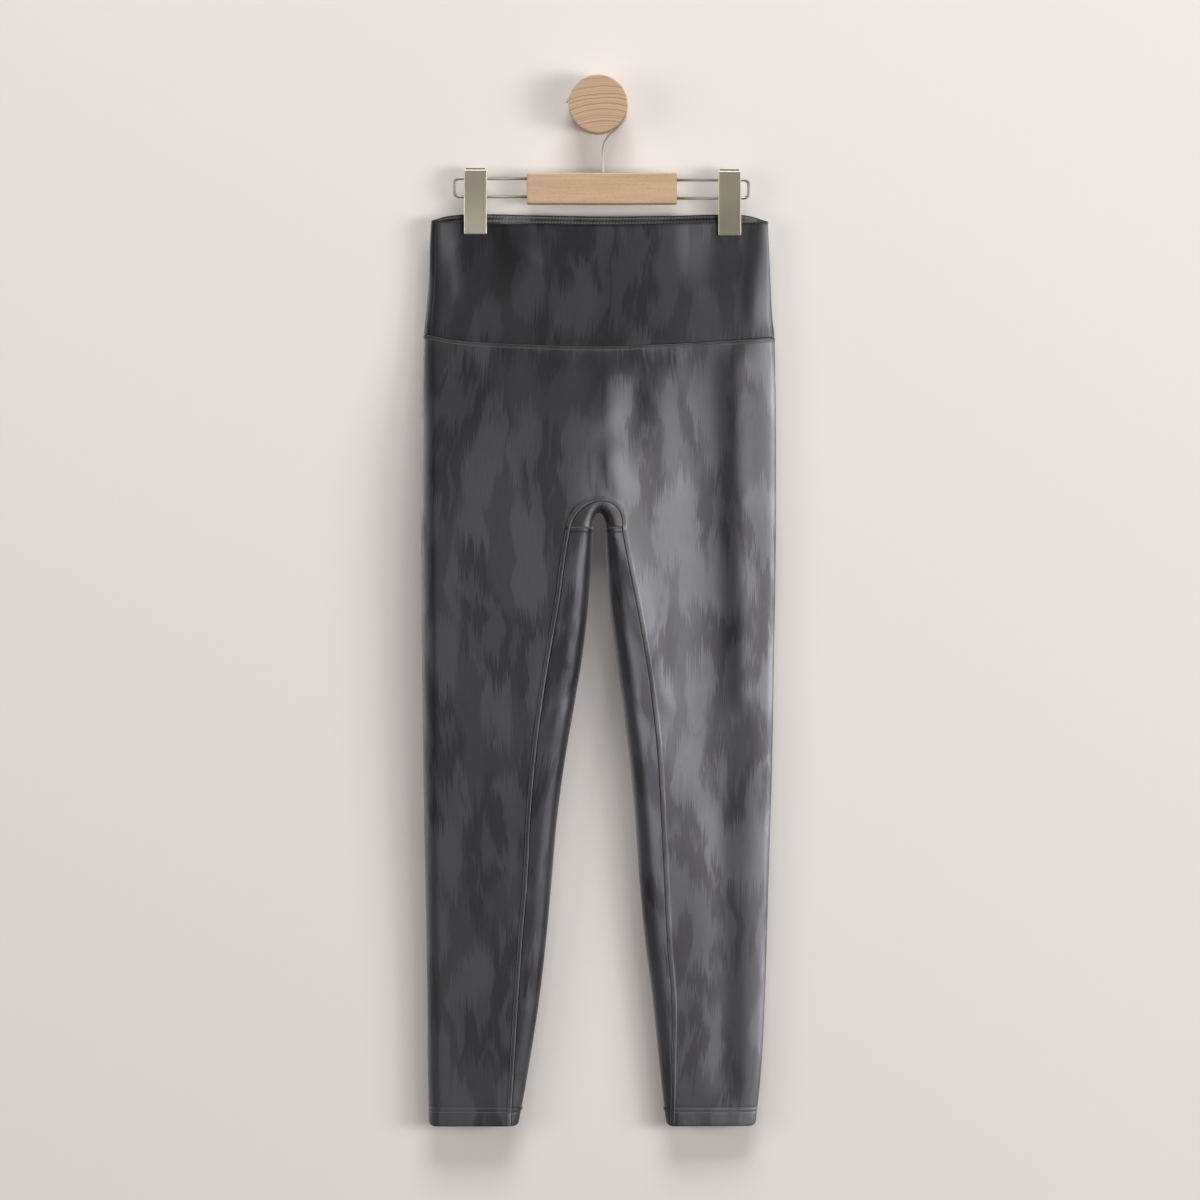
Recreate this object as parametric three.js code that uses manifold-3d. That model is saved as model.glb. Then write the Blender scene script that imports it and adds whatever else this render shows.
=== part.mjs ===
// High-waisted leggings hung by two clips from a wooden bar hanger on a round wall peg.
// Millimetres. X is the viewer's right, Y runs into the wall, Z is up.
// The origin is the centre of the peg's back face, on the wall plane y = 0.
import * as THREE from "three";
import { mergeVertices } from "three/addons/utils/BufferGeometryUtils.js";
import Module from "manifold-3d";

// Driving dimensions of the garment
const HANG_Y = -22;
const BAND_WALL = 2.0;
const BODY_WALL = 1.4;
const HEM_EXTRA = 0.9;
const HEM_DEPTH = 18;
const HEM_Z = -1122;
const HEM_CORNER = 4;
const SEAM_GAP = 0.3;
const CLIPPED_DEPTH = 1.25;
const PINCH = { margin: 1, reachX: 50, reachZ: 85 };
const LEAST_DEPTH = 2.2;

// Driving dimensions of the hanger and the peg
const WIRE_RADIUS = 1.5;
const ROD_RADIUS = 1.6;
const ROD_SPACING = 20;
const ROD_CORNER = 6;
const BAR = { x: 4.2, z: -91.6, width: 165, height: 34.6, thickness: 14, round: 2 };
const CLIP = { width: 25.3, height: 71, depth: 3.4, sheet: 1.1, opening: 2.55 };
const PIVOT = { peek: 2, inset: 2, sides: 12 };
const CLIPS = [
  { side: "left", x: -134.8, top: -68.8, rodZ: -80.4, loopX: -157.9 },
  { side: "right", x: 144.8, top: -70.2, rodZ: -82.0, loopX: 165.6 },
];
const PEG = { face: 32.2, neck: 29.0, foot: 30.5, depth: 45, rim: 7, soft: 1.6, neckFrom: 15, neckTo: 28 };
const HOOK = { x: -1.65, z: -2.75, radius: 34, fromDegrees: -12, toDegrees: 172, stepDegrees: 16 };

// The hook's wire between the bar and its round part: a straight stem and a sweep to the right
const HOOK_STEM = [
  { x: 5.5, z: -62 },
  { x: 5.5, z: -50 },
  { x: 7.6, z: -40.5 },
  { x: 13.0, z: -31.8 },
  { x: 20.6, z: -25.4 },
  { x: 27.9, z: -17.6 },
];

// Outer folds of the garment, half depths of its hollow and widths of its rounded folds, by height
const OUTLINE = [
  { z: -120, left: -182.6, right: 186.4, front: 5.5, back: 7.5, foldLeft: 12, foldRight: 17 },
  { z: -150, left: -184.5, right: 187.5, front: 6.0, back: 8.5, foldLeft: 13, foldRight: 20 },
  { z: -192, left: -185.6, right: 189.3, front: 6.5, back: 10.0, foldLeft: 14, foldRight: 24 },
  { z: -236, left: -188.9, right: 191.3, front: 7.5, back: 11.0, foldLeft: 15, foldRight: 28 },
  { z: -262, left: -191.2, right: 193.8, front: 8.0, back: 12.0, foldLeft: 15, foldRight: 30 },
  { z: -324, left: -192.9, right: 195.0, front: 8.0, back: 12.5, foldLeft: 15, foldRight: 32 },
  { z: -412, left: -194.0, right: 195.2, front: 8.0, back: 13.0, foldLeft: 16, foldRight: 32 },
  { z: -500, left: -194.1, right: 194.8, front: 8.0, back: 12.5, foldLeft: 16, foldRight: 32 },
  { z: -599, left: -192.8, right: 193.1, front: 8.0, back: 12.0, foldLeft: 16, foldRight: 32 },
  { z: -720, left: -191.4, right: 191.0, front: 7.5, back: 11.0, foldLeft: 15, foldRight: 30 },
  { z: -852, left: -189.2, right: 187.0, front: 7.5, back: 10.0, foldLeft: 14, foldRight: 27 },
  { z: -984, left: -187.0, right: 182.9, front: 7.0, back: 9.0, foldLeft: 13, foldRight: 24 },
  { z: -1050, left: -186.6, right: 179.6, front: 7.0, back: 8.5, foldLeft: 13, foldRight: 22 },
  { z: -1122, left: -185.2, right: 172.9, front: 7.0, back: 8.0, foldLeft: 12, foldRight: 20 },
];

// The lean: the left part stands off the wall and falls away to the right, evenly from the ridge
// to the foot of the slope, half of it with both layers together and the rest in the front alone
const LEAN = [
  { z: -120, height: 0, ridge: 10, foot: 125 },
  { z: -235, height: 0, ridge: 10, foot: 125 },
  { z: -262, height: 1, ridge: 12, foot: 122 },
  { z: -300, height: 8, ridge: 14, foot: 118 },
  { z: -360, height: 19, ridge: 8, foot: 116 },
  { z: -430, height: 26, ridge: 0, foot: 118 },
  { z: -600, height: 26, ridge: 5, foot: 124 },
  { z: -720, height: 22, ridge: 25, foot: 128 },
  { z: -850, height: 15, ridge: 36, foot: 150 },
  { z: -1000, height: 9, ridge: 55, foot: 165 },
  { z: -1122, height: 6, ridge: 60, foot: 165 },
];
const LEAN_TOGETHER = 0.5;
const LEAN_ROUND = 0.16;

// Inner edges of the legs, and how far in from them the front inseam lies, by height
const LEGS = [
  { z: -464.7, left: -6.1, right: 9.0, seamLeft: 24.2, seamRight: 16.9 },
  { z: -500, left: -7.7, right: 9.9, seamLeft: 28.6, seamRight: 22.6 },
  { z: -544, left: -10.8, right: 12.8, seamLeft: 31.3, seamRight: 28.5 },
  { z: -599, left: -16.9, right: 19.8, seamLeft: 34.8, seamRight: 31.4 },
  { z: -654, left: -25.7, right: 27.3, seamLeft: 34.8, seamRight: 32.1 },
  { z: -720, left: -36.9, right: 35.5, seamLeft: 31.9, seamRight: 30.5 },
  { z: -786, left: -45.7, right: 41.6, seamLeft: 28.6, seamRight: 28.0 },
  { z: -852, left: -51.5, right: 46.2, seamLeft: 26.1, seamRight: 26.6 },
  { z: -918, left: -57.6, right: 52.5, seamLeft: 25.5, seamRight: 23.4 },
  { z: -984, left: -65.3, right: 60.9, seamLeft: 22.4, seamRight: 20.0 },
  { z: -1050, left: -75.4, right: 67.7, seamLeft: 16.3, seamRight: 12.9 },
  { z: -1122, left: -88.0, right: 75.6, seamLeft: 7.9, seamRight: 3.6 },
];

// Crotch: the edge seen between the legs, and the gusset's seam arcs on the front and the back
const FOOT_Z = LEGS[0].z;
const CROTCH_ROUND = 15;
const EDGE_ARC = { x: 1.45, halfWidth: 7.55, height: 16.7, lean: -1.0 };
const SEAM_ARCS = {
  front: { x: -2.2, halfWidth: 28.1, height: 29.1, lean: 6.0 },
  back: { x: 5.15, halfWidth: 28.05, height: 29.1, lean: -6.0 },
};

// Heights of the waist edge and of the seam under the band, across the garment
const WAIST = [
  { x: -185, front: -127.0, back: -127.0, seam: -252.9 },
  { x: -165, front: -127.8, back: -121.5, seam: -257.0 },
  { x: -134, front: -130.0, back: -119.6, seam: -260.3 },
  { x: -64, front: -130.8, back: -120.4, seam: -263.7 },
  { x: 2, front: -132.0, back: -121.6, seam: -265.2 },
  { x: 70, front: -130.4, back: -121.0, seam: -262.8 },
  { x: 134, front: -127.9, back: -120.0, seam: -259.2 },
  { x: 165, front: -129.2, back: -121.2, seam: -257.2 },
  { x: 188, front: -128.0, back: -128.0, seam: -255.4 },
];
const BAND_SEAM_IN = 6.4;
const WAIST_LEVEL = -128;
const LEVEL_SEAM_Z = -262;
const LEVELLED_BY = 60;

// The largest soft folds: a ridge has a positive height, a trough a negative one
const FOLDS = [
  { face: "front", x: 7, z: -285, toX: 8, toZ: -425, width: 10, height: 2.2 },
  { face: "front", x: 150, z: -275, toX: 158, toZ: -660, width: 14, height: 2.6 },
  { face: "front", x: 28, z: -480, toX: 76, toZ: -665, width: 11, height: 1.6 },
  { face: "front", x: 134, z: -760, toX: 138, toZ: -1080, width: 16, height: -1.4 },
  { face: "front", x: -112, z: -148, toX: -60, toZ: -182, width: 11, height: 1.2 },
  { face: "front", x: -162, z: -150, toX: -160, toZ: -210, width: 10, height: 1.4 },
  { face: "front", x: 170, z: -150, toX: 174, toZ: -240, width: 10, height: 1.6 },
  { face: "back", x: -2, z: -280, toX: 0, toZ: -420, width: 10, height: -2.6 },
  { face: "back", x: -95, z: -300, toX: -60, toZ: -430, width: 24, height: 2.4 },
  { face: "back", x: 100, z: -300, toX: 66, toZ: -430, width: 24, height: 2.4 },
  { face: "back", x: -118, z: -520, toX: -130, toZ: -900, width: 18, height: -2.0 },
  { face: "back", x: 112, z: -520, toX: 128, toZ: -860, width: 18, height: -2.0 },
];
const FOLD_FADE = 35;

// Grid counts
const FOLD_STEPS = 4;
const FRONT_STEPS = 10;
const BACK_STEPS = 9;
const HIP_ROWS = 7;
const ARC_STEPS = 5;
const LEG_ROWS = 22;
const RIM_STEPS = 5;
const BAND_ROWS = 7;
const BAND_CLIP_FOOT = 0.86;
const BAND_STEPS = [2, 2, 15, 2, 1];
const LEAST_STEP = 0.02;
const WIRE_SIDES = 8;
const ROD_STEPS = 44;
const HOOK_STEPS = 46;
const PEG_SIDES = 40;
const BEVEL_STEPS = 2;
const NORMAL_STEP = 0.004;
const WELD = 1e-4;

const QUARTER = Math.PI / 2;

function clamp01(value) {
  return Math.min(1, Math.max(0, value));
}

function mix(from, to, share) {
  return from + (to - from) * share;
}

function smooth(value) {
  const t = clamp01(value);
  return t * t * (3 - 2 * t);
}

// Smooth curve through one column of a table, straight beyond its ends
function readTable(table, key, column, at) {
  const rising = table[1][key] > table[0][key];
  let row = 0;
  while (row < table.length - 2 && (rising ? at > table[row + 1][key] : at < table[row + 1][key])) {
    row += 1;
  }
  const slope = (index) => {
    const before = table[Math.max(index - 1, 0)];
    const after = table[Math.min(index + 1, table.length - 1)];
    return (after[column] - before[column]) / (after[key] - before[key]);
  };
  const a = table[row];
  const b = table[row + 1];
  const span = b[key] - a[key];
  const t = (at - a[key]) / span;
  if (t < 0) return a[column] + slope(row) * (at - a[key]);
  if (t > 1) return b[column] + slope(row + 1) * (at - b[key]);
  const t2 = t * t;
  const t3 = t2 * t;
  return (2 * t3 - 3 * t2 + 1) * a[column] + (t3 - 2 * t2 + t) * span * slope(row)
    + (3 * t2 - 2 * t3) * b[column] + (t3 - t2) * span * slope(row + 1);
}

const outline = (column, z) => readTable(OUTLINE, "z", column, z);
const leg = (column, z) => readTable(LEGS, "z", column, z);
const waist = (column, x) => readTable(WAIST, "x", column, x);
const sideName = (side) => (side < 0 ? "left" : "right");
const foldColumn = (side) => (side < 0 ? "foldLeft" : "foldRight");
const seamColumn = (side) => (side < 0 ? "seamLeft" : "seamRight");

// Rises from 0 at a folded edge to 1 at the flat cloth, as a quarter ellipse does
function quarterRound(share) {
  const t = 1 - clamp01(share);
  return Math.sqrt(Math.max(0, 1 - t * t));
}

// Distance in the garment's plane to the edge that runs up one leg, over the crotch and down the other
function distanceToInnerEdge(x, z) {
  if (z >= FOOT_Z) {
    const dx = x - EDGE_ARC.x;
    const dz = z - FOOT_Z;
    const reach = Math.hypot(dx, dz);
    if (reach === 0) return 0;
    const edge = 1 / Math.hypot(dx / reach / EDGE_ARC.halfWidth, dz / reach / EDGE_ARC.height);
    return Math.max(0, reach - edge);
  }
  return Math.max(0, leg("left", z) - x, x - leg("right", z));
}

// 1 where a clip presses the two layers together, falling to 0 around it
function pinch(x, z) {
  const nearest = CLIPS.map((clip) => {
    const foot = clip.top - PIVOT.peek - CLIP.height;
    const dx = Math.max(Math.abs(x - clip.x) - CLIP.width / 2 - PINCH.margin, 0);
    const dz = Math.max(foot - PINCH.margin - z, 0);
    return Math.hypot(dx / PINCH.reachX, dz / PINCH.reachZ);
  });
  return 1 - smooth(Math.min(...nearest));
}

function foldHeight(face, x, z) {
  let sum = 0;
  for (const fold of FOLDS) {
    if (fold.face !== face) continue;
    const runX = fold.toX - fold.x;
    const runZ = fold.toZ - fold.z;
    const length = Math.hypot(runX, runZ);
    const along = ((x - fold.x) * runX + (z - fold.z) * runZ) / length;
    const off = ((x - fold.x) * runZ - (z - fold.z) * runX) / length;
    const ends = smooth(along / FOLD_FADE + 0.5) * smooth((length - along) / FOLD_FADE + 0.5);
    sum += fold.height * ends * Math.exp(-((off / fold.width) ** 2));
  }
  return sum;
}

// An even slope from 0 to 1 with softly rounded ends
function ease(share) {
  const t = Math.min(1 + LEAN_ROUND, Math.max(-LEAN_ROUND, share));
  if (t < LEAN_ROUND) return (t + LEAN_ROUND) ** 2 / (4 * LEAN_ROUND);
  if (t > 1 - LEAN_ROUND) return 1 - (1 + LEAN_ROUND - t) ** 2 / (4 * LEAN_ROUND);
  return t;
}

function lean(x, z) {
  const ridge = readTable(LEAN, "z", "ridge", z);
  const foot = readTable(LEAN, "z", "foot", z);
  return readTable(LEAN, "z", "height", z) * (1 - ease((x - ridge) / (foot - ridge)));
}

// Half depth of the hollow at a point of the garment's plane
function halfDepth(face, x, z) {
  const fromLeft = Math.max(0, x - outline("left", z)) / outline("foldLeft", z);
  const fromRight = Math.max(0, outline("right", z) - x) / outline("foldRight", z);
  const innerFold = Math.min(CROTCH_ROUND, outline("foldRight", z));
  const outerRound = quarterRound(Math.min(fromLeft, fromRight));
  const innerRound = quarterRound(distanceToInnerEdge(x, z) / innerFold);
  const edges = outerRound * innerRound;
  const flat = outline(face, z) + edges * foldHeight(face, x, z);
  const stand = face === "front" ? (1 - LEAN_TOGETHER) * lean(x, z) : 0;
  const open = edges * Math.max(LEAST_DEPTH, flat + stand);
  return mix(open, CLIPPED_DEPTH * outerRound, pinch(x, z));
}

function clothPoint(face, x, z) {
  const depth = halfDepth(face, x, z);
  const middle = HANG_Y - LEAN_TOGETHER * lean(x, z);
  return new THREE.Vector3(x, middle + (face === "front" ? -depth : depth), z);
}

// Seam between the main panel and the gusset or the inner leg, moved towards the main panel by shift
function seamX(face, side, z, shift) {
  if (z >= FOOT_Z) {
    const arc = SEAM_ARCS[face];
    const sine = clamp01((z - FOOT_Z) / (arc.height + shift));
    return arc.x + arc.lean * sine + side * (arc.halfWidth + shift) * Math.sqrt(1 - sine * sine);
  }
  const faceSide = face === "front" ? side : -side;
  return leg(sideName(side), z) + side * (leg(seamColumn(faceSide), z) + shift);
}

// Outward unit normal of a surface given by a function of two parameters
function normalOf(surface, u, v) {
  const alongU = surface(u + NORMAL_STEP, v).sub(surface(u - NORMAL_STEP, v));
  const alongV = surface(u, v + NORMAL_STEP).sub(surface(u, v - NORMAL_STEP));
  return alongU.cross(alongV).normalize();
}

// A closed wall around an open sheet of quads, whose corners run anticlockwise seen from outside
function wallGeometry(sheet) {
  const count = sheet.points.length;
  const positions = [];
  sheet.points.forEach((point, index) => {
    positions.push(point.clone().addScaledVector(sheet.normals[index], sheet.outer));
  });
  sheet.points.forEach((point, index) => {
    positions.push(point.clone().addScaledVector(sheet.normals[index], -sheet.inner[index]));
  });
  const triangles = [];
  const edges = new Map();
  for (const [a, b, c, d] of sheet.quads) {
    triangles.push([a, b, c], [a, c, d]);
    triangles.push([a + count, c + count, b + count], [a + count, d + count, c + count]);
    for (const [from, to] of [[a, b], [b, c], [c, d], [d, a]]) {
      if (!edges.delete(`${to},${from}`)) edges.set(`${from},${to}`, [from, to]);
    }
  }
  for (const [from, to] of edges.values()) {
    triangles.push([from, from + count, to + count], [from, to + count, to]);
  }
  const geometry = new THREE.BufferGeometry().setFromPoints(positions);
  geometry.setIndex(triangles.flat());
  geometry.computeVertexNormals();
  return geometry;
}

// Samples a rectangular patch; keep(i, j) may give the index of a point that another patch made
function addPatch(sheet, surface, columns, rows, thickness, keep = () => undefined) {
  const index = rows.map((v, j) => columns.map((u, i) => {
    const kept = keep(i, j);
    if (kept !== undefined) return kept;
    const point = surface(u, v);
    sheet.points.push(point);
    sheet.normals.push(normalOf(surface, u, v));
    sheet.inner.push(thickness(v));
    return sheet.points.length - 1;
  }));
  for (let j = 0; j + 1 < rows.length; j += 1) {
    for (let i = 0; i + 1 < columns.length; i += 1) {
      sheet.quads.push([index[j][i], index[j + 1][i], index[j + 1][i + 1], index[j][i + 1]]);
    }
  }
  return index;
}

function newSheet(wall) {
  return { points: [], normals: [], inner: [], quads: [], outer: wall / 2 };
}

function steps(from, to, count) {
  return Array.from({ length: count + 1 }, (_, index) => mix(from, to, index / count));
}

// Body cloth is one wall, thicker where the hem is turned up inside
function bodyThickness(level) {
  const turned = level < HEM_Z + HEM_DEPTH ? HEM_EXTRA : 0;
  return BODY_WALL / 2 + turned;
}

// Height of a body row: level lower down, following the band's seam at the top
function rowHeight(level, x) {
  const follow = 1 - smooth((LEVEL_SEAM_Z - level) / LEVELLED_BY);
  return level + follow * (waist("seam", x) - SEAM_GAP / 2 - LEVEL_SEAM_Z);
}

// The hem lies a little higher at a leg's two folded edges, where the cloth turns the corner
function hemLift(side, x, level) {
  const name = sideName(side);
  const distance = Math.min(Math.abs(x - outline(name, level)), Math.abs(x - leg(name, level)));
  const low = smooth((HEM_Z + 2 * HEM_DEPTH - level) / (2 * HEM_DEPTH));
  return HEM_CORNER * low * (1 - quarterRound(distance / (2 * HEM_CORNER)));
}

// Levels shared by the main panel, the gusset and the inner leg panels, so that seams run side by side
const arcSines = steps(1, 0, ARC_STEPS).map((share) => Math.sin(share * QUARTER));
const arcLevels = arcSines.map((sine) => FOOT_Z + sine * (SEAM_ARCS.front.height + SEAM_GAP / 2));
const hipLevels = steps(LEVEL_SEAM_Z, arcLevels[0], HIP_ROWS).slice(0, -1);
const legLevels = [
  ...steps(FOOT_Z, HEM_Z + HEM_DEPTH, LEG_ROWS - 1),
  HEM_Z + HEM_DEPTH - SEAM_GAP,
  HEM_Z,
];
const bodyLevels = [...hipLevels, ...arcLevels, ...legLevels.slice(1)];

// Inner edge of half of the main panel: the front's middle or the back's middle seam,
// then the seam round the gusset and down the inner leg
function mainPanelEdge(face, side, level) {
  const seam = seamX(face, side, Math.min(level, arcLevels[0]), SEAM_GAP / 2);
  if (face === "front") return seam;
  const middle = SEAM_ARCS.back.x + SEAM_ARCS.back.lean;
  return side * Math.max(side * seam, side * middle + SEAM_GAP / 2);
}

// Half of the main panel: across is -1 at the back seam, 0 at the outer fold, 1 at the front
function mainPanelSurface(side) {
  return (across, level) => {
    const face = across >= 0 ? "front" : "back";
    const fold = outline(sideName(side), level);
    const width = Math.abs(mainPanelEdge(face, side, level) - fold);
    const turn = outline(foldColumn(side), level);
    const share = Math.abs(across);
    const foldShare = FOLD_STEPS / (FOLD_STEPS + (face === "front" ? FRONT_STEPS : BACK_STEPS));
    const rounded = turn * (1 - Math.cos((share / foldShare) * QUARTER));
    const flat = mix(turn, width, (share - foldShare) / (1 - foldShare));
    const x = fold - side * (share < foldShare ? rounded : flat);
    return clothPoint(face, x, rowHeight(level, x) + hemLift(side, x, level));
  };
}

function mainPanel() {
  const sheet = newSheet(BODY_WALL);
  const frontShares = steps(0, 1, FOLD_STEPS + FRONT_STEPS);
  const backShares = steps(-1, 0, FOLD_STEPS + BACK_STEPS).slice(0, -1);
  const columns = [...backShares, ...frontShares];
  const mirrored = columns.map((share) => -share).reverse();
  const left = mainPanelSurface(-1);
  const right = (across, level) => mainPanelSurface(1)(-across, level);
  const leftIndex = addPatch(sheet, left, columns, bodyLevels, bodyThickness);
  const centreRows = hipLevels.length;
  const shared = (i, j) => (i === 0 && j <= centreRows ? leftIndex[j][columns.length - 1] : undefined);
  addPatch(sheet, right, mirrored, bodyLevels, bodyThickness, shared);
  return wallGeometry(sheet);
}

// Across an inner edge: -1 at the front seam, 0 on the edge, 1 at the back seam
function innerLegSurface(side) {
  return (across, level) => {
    const face = across < 0 ? "front" : "back";
    const edge = leg(sideName(side), level);
    const seam = seamX(face, side, level, -SEAM_GAP / 2);
    const x = mix(edge, seam, 1 - Math.cos(Math.abs(across) * QUARTER));
    return clothPoint(face, x, level + hemLift(side, x, level));
  };
}

function innerLeg(side) {
  const sheet = newSheet(BODY_WALL);
  const levels = [FOOT_Z - SEAM_GAP / 2, ...legLevels.slice(1)];
  const surface = innerLegSurface(side);
  const rightward = (across, level) => surface(-side * across, level);
  addPatch(sheet, rightward, steps(-1, 1, 2 * RIM_STEPS), levels, bodyThickness);
  return wallGeometry(sheet);
}

// The gusset runs from one leg's foot seam over the crotch to the other's;
// its rise is 1 at the front seam, 0 on the edge and -1 at the back seam
function gussetSurface(turn, rise) {
  const face = rise > 0 ? "front" : "back";
  const onArc = (shape, shrink) => ({
    x: shape.x + shape.lean * Math.sin(turn) - (shape.halfWidth - shrink) * Math.cos(turn),
    z: FOOT_Z + SEAM_GAP / 2 + (shape.height - shrink - SEAM_GAP / 2) * Math.sin(turn),
  });
  const edge = onArc(EDGE_ARC, 0);
  const seam = onArc(SEAM_ARCS[face], SEAM_GAP / 2);
  const share = 1 - Math.cos(Math.abs(rise) * QUARTER);
  return clothPoint(face, mix(edge.x, seam.x, share), mix(edge.z, seam.z, share));
}

function gusset() {
  const sheet = newSheet(BODY_WALL);
  const turns = steps(0, Math.PI, 2 * ARC_STEPS);
  const rises = steps(1, -1, 2 * RIM_STEPS);
  addPatch(sheet, gussetSurface, turns, rises, () => BODY_WALL / 2);
  return wallGeometry(sheet);
}

// Round the waistband: 0 to 1 across the front, 1 to 2 round the right fold,
// 2 to 3 across the back and 3 to 4 round the left fold; rise is 1 at the waist edge and 0 at the seam
function bandSurface(round, rise) {
  const lap = ((round % 4) + 4) % 4;
  const level = mix(LEVEL_SEAM_Z, WAIST_LEVEL, rise);
  const turnLeft = outline("foldLeft", level);
  const turnRight = outline("foldRight", level);
  const left = outline("left", level);
  const right = outline("right", level);
  let x;
  let face;
  if (lap < 1 || (lap >= 2 && lap < 3)) {
    face = lap < 1 ? "front" : "back";
    const share = lap < 1 ? lap : 3 - lap;
    x = mix(left + turnLeft, right - turnRight, share);
  } else {
    const onRight = lap < 2;
    const angle = onRight ? QUARTER - (lap - 1) * Math.PI : (lap - 3) * Math.PI - QUARTER;
    face = angle > 0 ? "front" : "back";
    const turned = 1 - Math.cos(angle);
    x = onRight ? right - turnRight * turned : left + turnLeft * turned;
  }
  const z = mix(waist("seam", x) + SEAM_GAP / 2, waist(face, x), rise);
  return clothPoint(face, x, z);
}

// Share of the way across the front at which x lies, at the height of the clips' grip
function bandShare(x) {
  const left = outline("left", WAIST_LEVEL) + outline("foldLeft", WAIST_LEVEL);
  const right = outline("right", WAIST_LEVEL) - outline("foldRight", WAIST_LEVEL);
  return (x - left) / (right - left);
}

// Places round one lap of the band, with columns on the edges of both clips
function bandRounds() {
  const half = CLIP.width / 2 + PINCH.margin;
  const clipStops = CLIPS.flatMap((clip) => [bandShare(clip.x - half), bandShare(clip.x + half)]);
  const stops = [0, ...clipStops, 1];
  const across = BAND_STEPS.flatMap((count, index) => (
    steps(stops[index], stops[index + 1], count).slice(0, -1)
  ));
  const folds = steps(0, 1, 2 * FOLD_STEPS);
  return [
    ...across,
    ...folds.map((share) => 1 + share),
    ...across.slice(1).reverse().map((share) => 3 - share),
    ...folds.slice(0, -1).map((share) => 3 + share),
  ];
}

function bandPiece(from, to) {
  const sheet = newSheet(BAND_WALL);
  const laps = [-4, 0, 4].flatMap((lap) => bandRounds().map((round) => round + lap));
  const inside = laps.filter((round) => round > from + LEAST_STEP && round < to - LEAST_STEP);
  const rows = [1, ...steps(BAND_CLIP_FOOT, 0, BAND_ROWS - 1)];
  addPatch(sheet, bandSurface, [from, ...inside, to], rows, () => BAND_WALL / 2);
  return wallGeometry(sheet);
}

// The band's side seams lie a little way in from the folds: on the front at left, on the back at right
function bandPieces() {
  const middle = (WAIST_LEVEL + LEVEL_SEAM_Z) / 2;
  const seamTurn = (side) => (
    Math.acos(1 - BAND_SEAM_IN / outline(foldColumn(side), middle)) / Math.PI
  );
  const seamGap = (side) => SEAM_GAP / 2 / (2 * outline(foldColumn(side), middle));
  const leftSeam = -0.5 + seamTurn(-1);
  const rightSeam = 1.5 + seamTurn(1);
  return {
    front: bandPiece(leftSeam + seamGap(-1), rightSeam - seamGap(1)),
    back: bandPiece(rightSeam + seamGap(1), leftSeam + 4 - seamGap(-1)),
  };
}

// A round wire along a path in the hanging plane
function wire(path, radius, count) {
  const section = new THREE.Shape();
  section.absarc(0, 0, radius, 0, 2 * Math.PI, false);
  return new THREE.ExtrudeGeometry(section, {
    extrudePath: path,
    steps: count,
    curveSegments: WIRE_SIDES / 2,
    bevelEnabled: false,
  });
}

function hangPoint(x, z) {
  return new THREE.Vector3(x, HANG_Y, z);
}

// Two rods out of the bar's end joined by a rounded end, on which a clip slides
function rodLoop(clip) {
  const side = Math.sign(clip.x);
  const barEnd = BAR.x + side * (BAR.width / 2 + SEAM_GAP);
  const low = clip.rodZ - ROD_SPACING;
  const turnX = clip.loopX - side * ROD_CORNER;
  const path = new THREE.CurvePath();
  const straight = (a, b) => path.add(new THREE.LineCurve3(a, b));
  const corner = (a, b, c) => path.add(new THREE.QuadraticBezierCurve3(a, b, c));
  straight(hangPoint(barEnd, clip.rodZ), hangPoint(turnX, clip.rodZ));
  corner(hangPoint(turnX, clip.rodZ), hangPoint(clip.loopX, clip.rodZ),
    hangPoint(clip.loopX, clip.rodZ - ROD_CORNER));
  straight(hangPoint(clip.loopX, clip.rodZ - ROD_CORNER), hangPoint(clip.loopX, low + ROD_CORNER));
  corner(hangPoint(clip.loopX, low + ROD_CORNER), hangPoint(clip.loopX, low), hangPoint(turnX, low));
  straight(hangPoint(turnX, low), hangPoint(barEnd, low));
  return wire(path, ROD_RADIUS, ROD_STEPS);
}

// A straight stem, a sweep to the right and a round hook over the peg's neck
function hook() {
  const foot = { x: HOOK_STEM[0].x, z: BAR.z + BAR.height / 2 + SEAM_GAP };
  const points = [foot, ...HOOK_STEM].map(({ x, z }) => hangPoint(x, z));
  const turns = Math.floor((HOOK.toDegrees - HOOK.fromDegrees) / HOOK.stepDegrees);
  for (let turn = 0; turn <= turns; turn += 1) {
    const angle = THREE.MathUtils.degToRad(HOOK.fromDegrees + turn * HOOK.stepDegrees);
    points.push(hangPoint(HOOK.x + HOOK.radius * Math.cos(angle), HOOK.z + HOOK.radius * Math.sin(angle)));
  }
  return wire(new THREE.CatmullRomCurve3(points), WIRE_RADIUS, HOOK_STEPS);
}

function peg() {
  const profile = [
    [0, 0],
    [PEG.foot, 0],
    [PEG.neck, PEG.neckFrom],
    [PEG.neck, PEG.neckTo],
    [PEG.face, PEG.depth - PEG.rim],
    [PEG.face, PEG.depth - PEG.soft],
    [PEG.face - PEG.soft / 3, PEG.depth - PEG.soft / 3],
    [PEG.face - PEG.soft, PEG.depth],
    [0, PEG.depth],
  ];
  return new THREE.LatheGeometry(profile.map(([r, h]) => new THREE.Vector2(r, h)), PEG_SIDES);
}

function bar() {
  const { width, height, thickness, round } = BAR;
  const shape = new THREE.Shape();
  const w = width / 2 - round;
  const h = height / 2 - round;
  shape.moveTo(-w, -h);
  shape.lineTo(w, -h);
  shape.lineTo(w, h);
  shape.lineTo(-w, h);
  shape.closePath();
  const geometry = new THREE.ExtrudeGeometry(shape, {
    depth: thickness - 2 * round,
    bevelThickness: round,
    bevelSize: round,
    bevelSegments: BEVEL_STEPS,
  });
  geometry.translate(0, 0, round - thickness / 2);
  return geometry;
}

const manifold = await Module();
manifold.setup();

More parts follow.
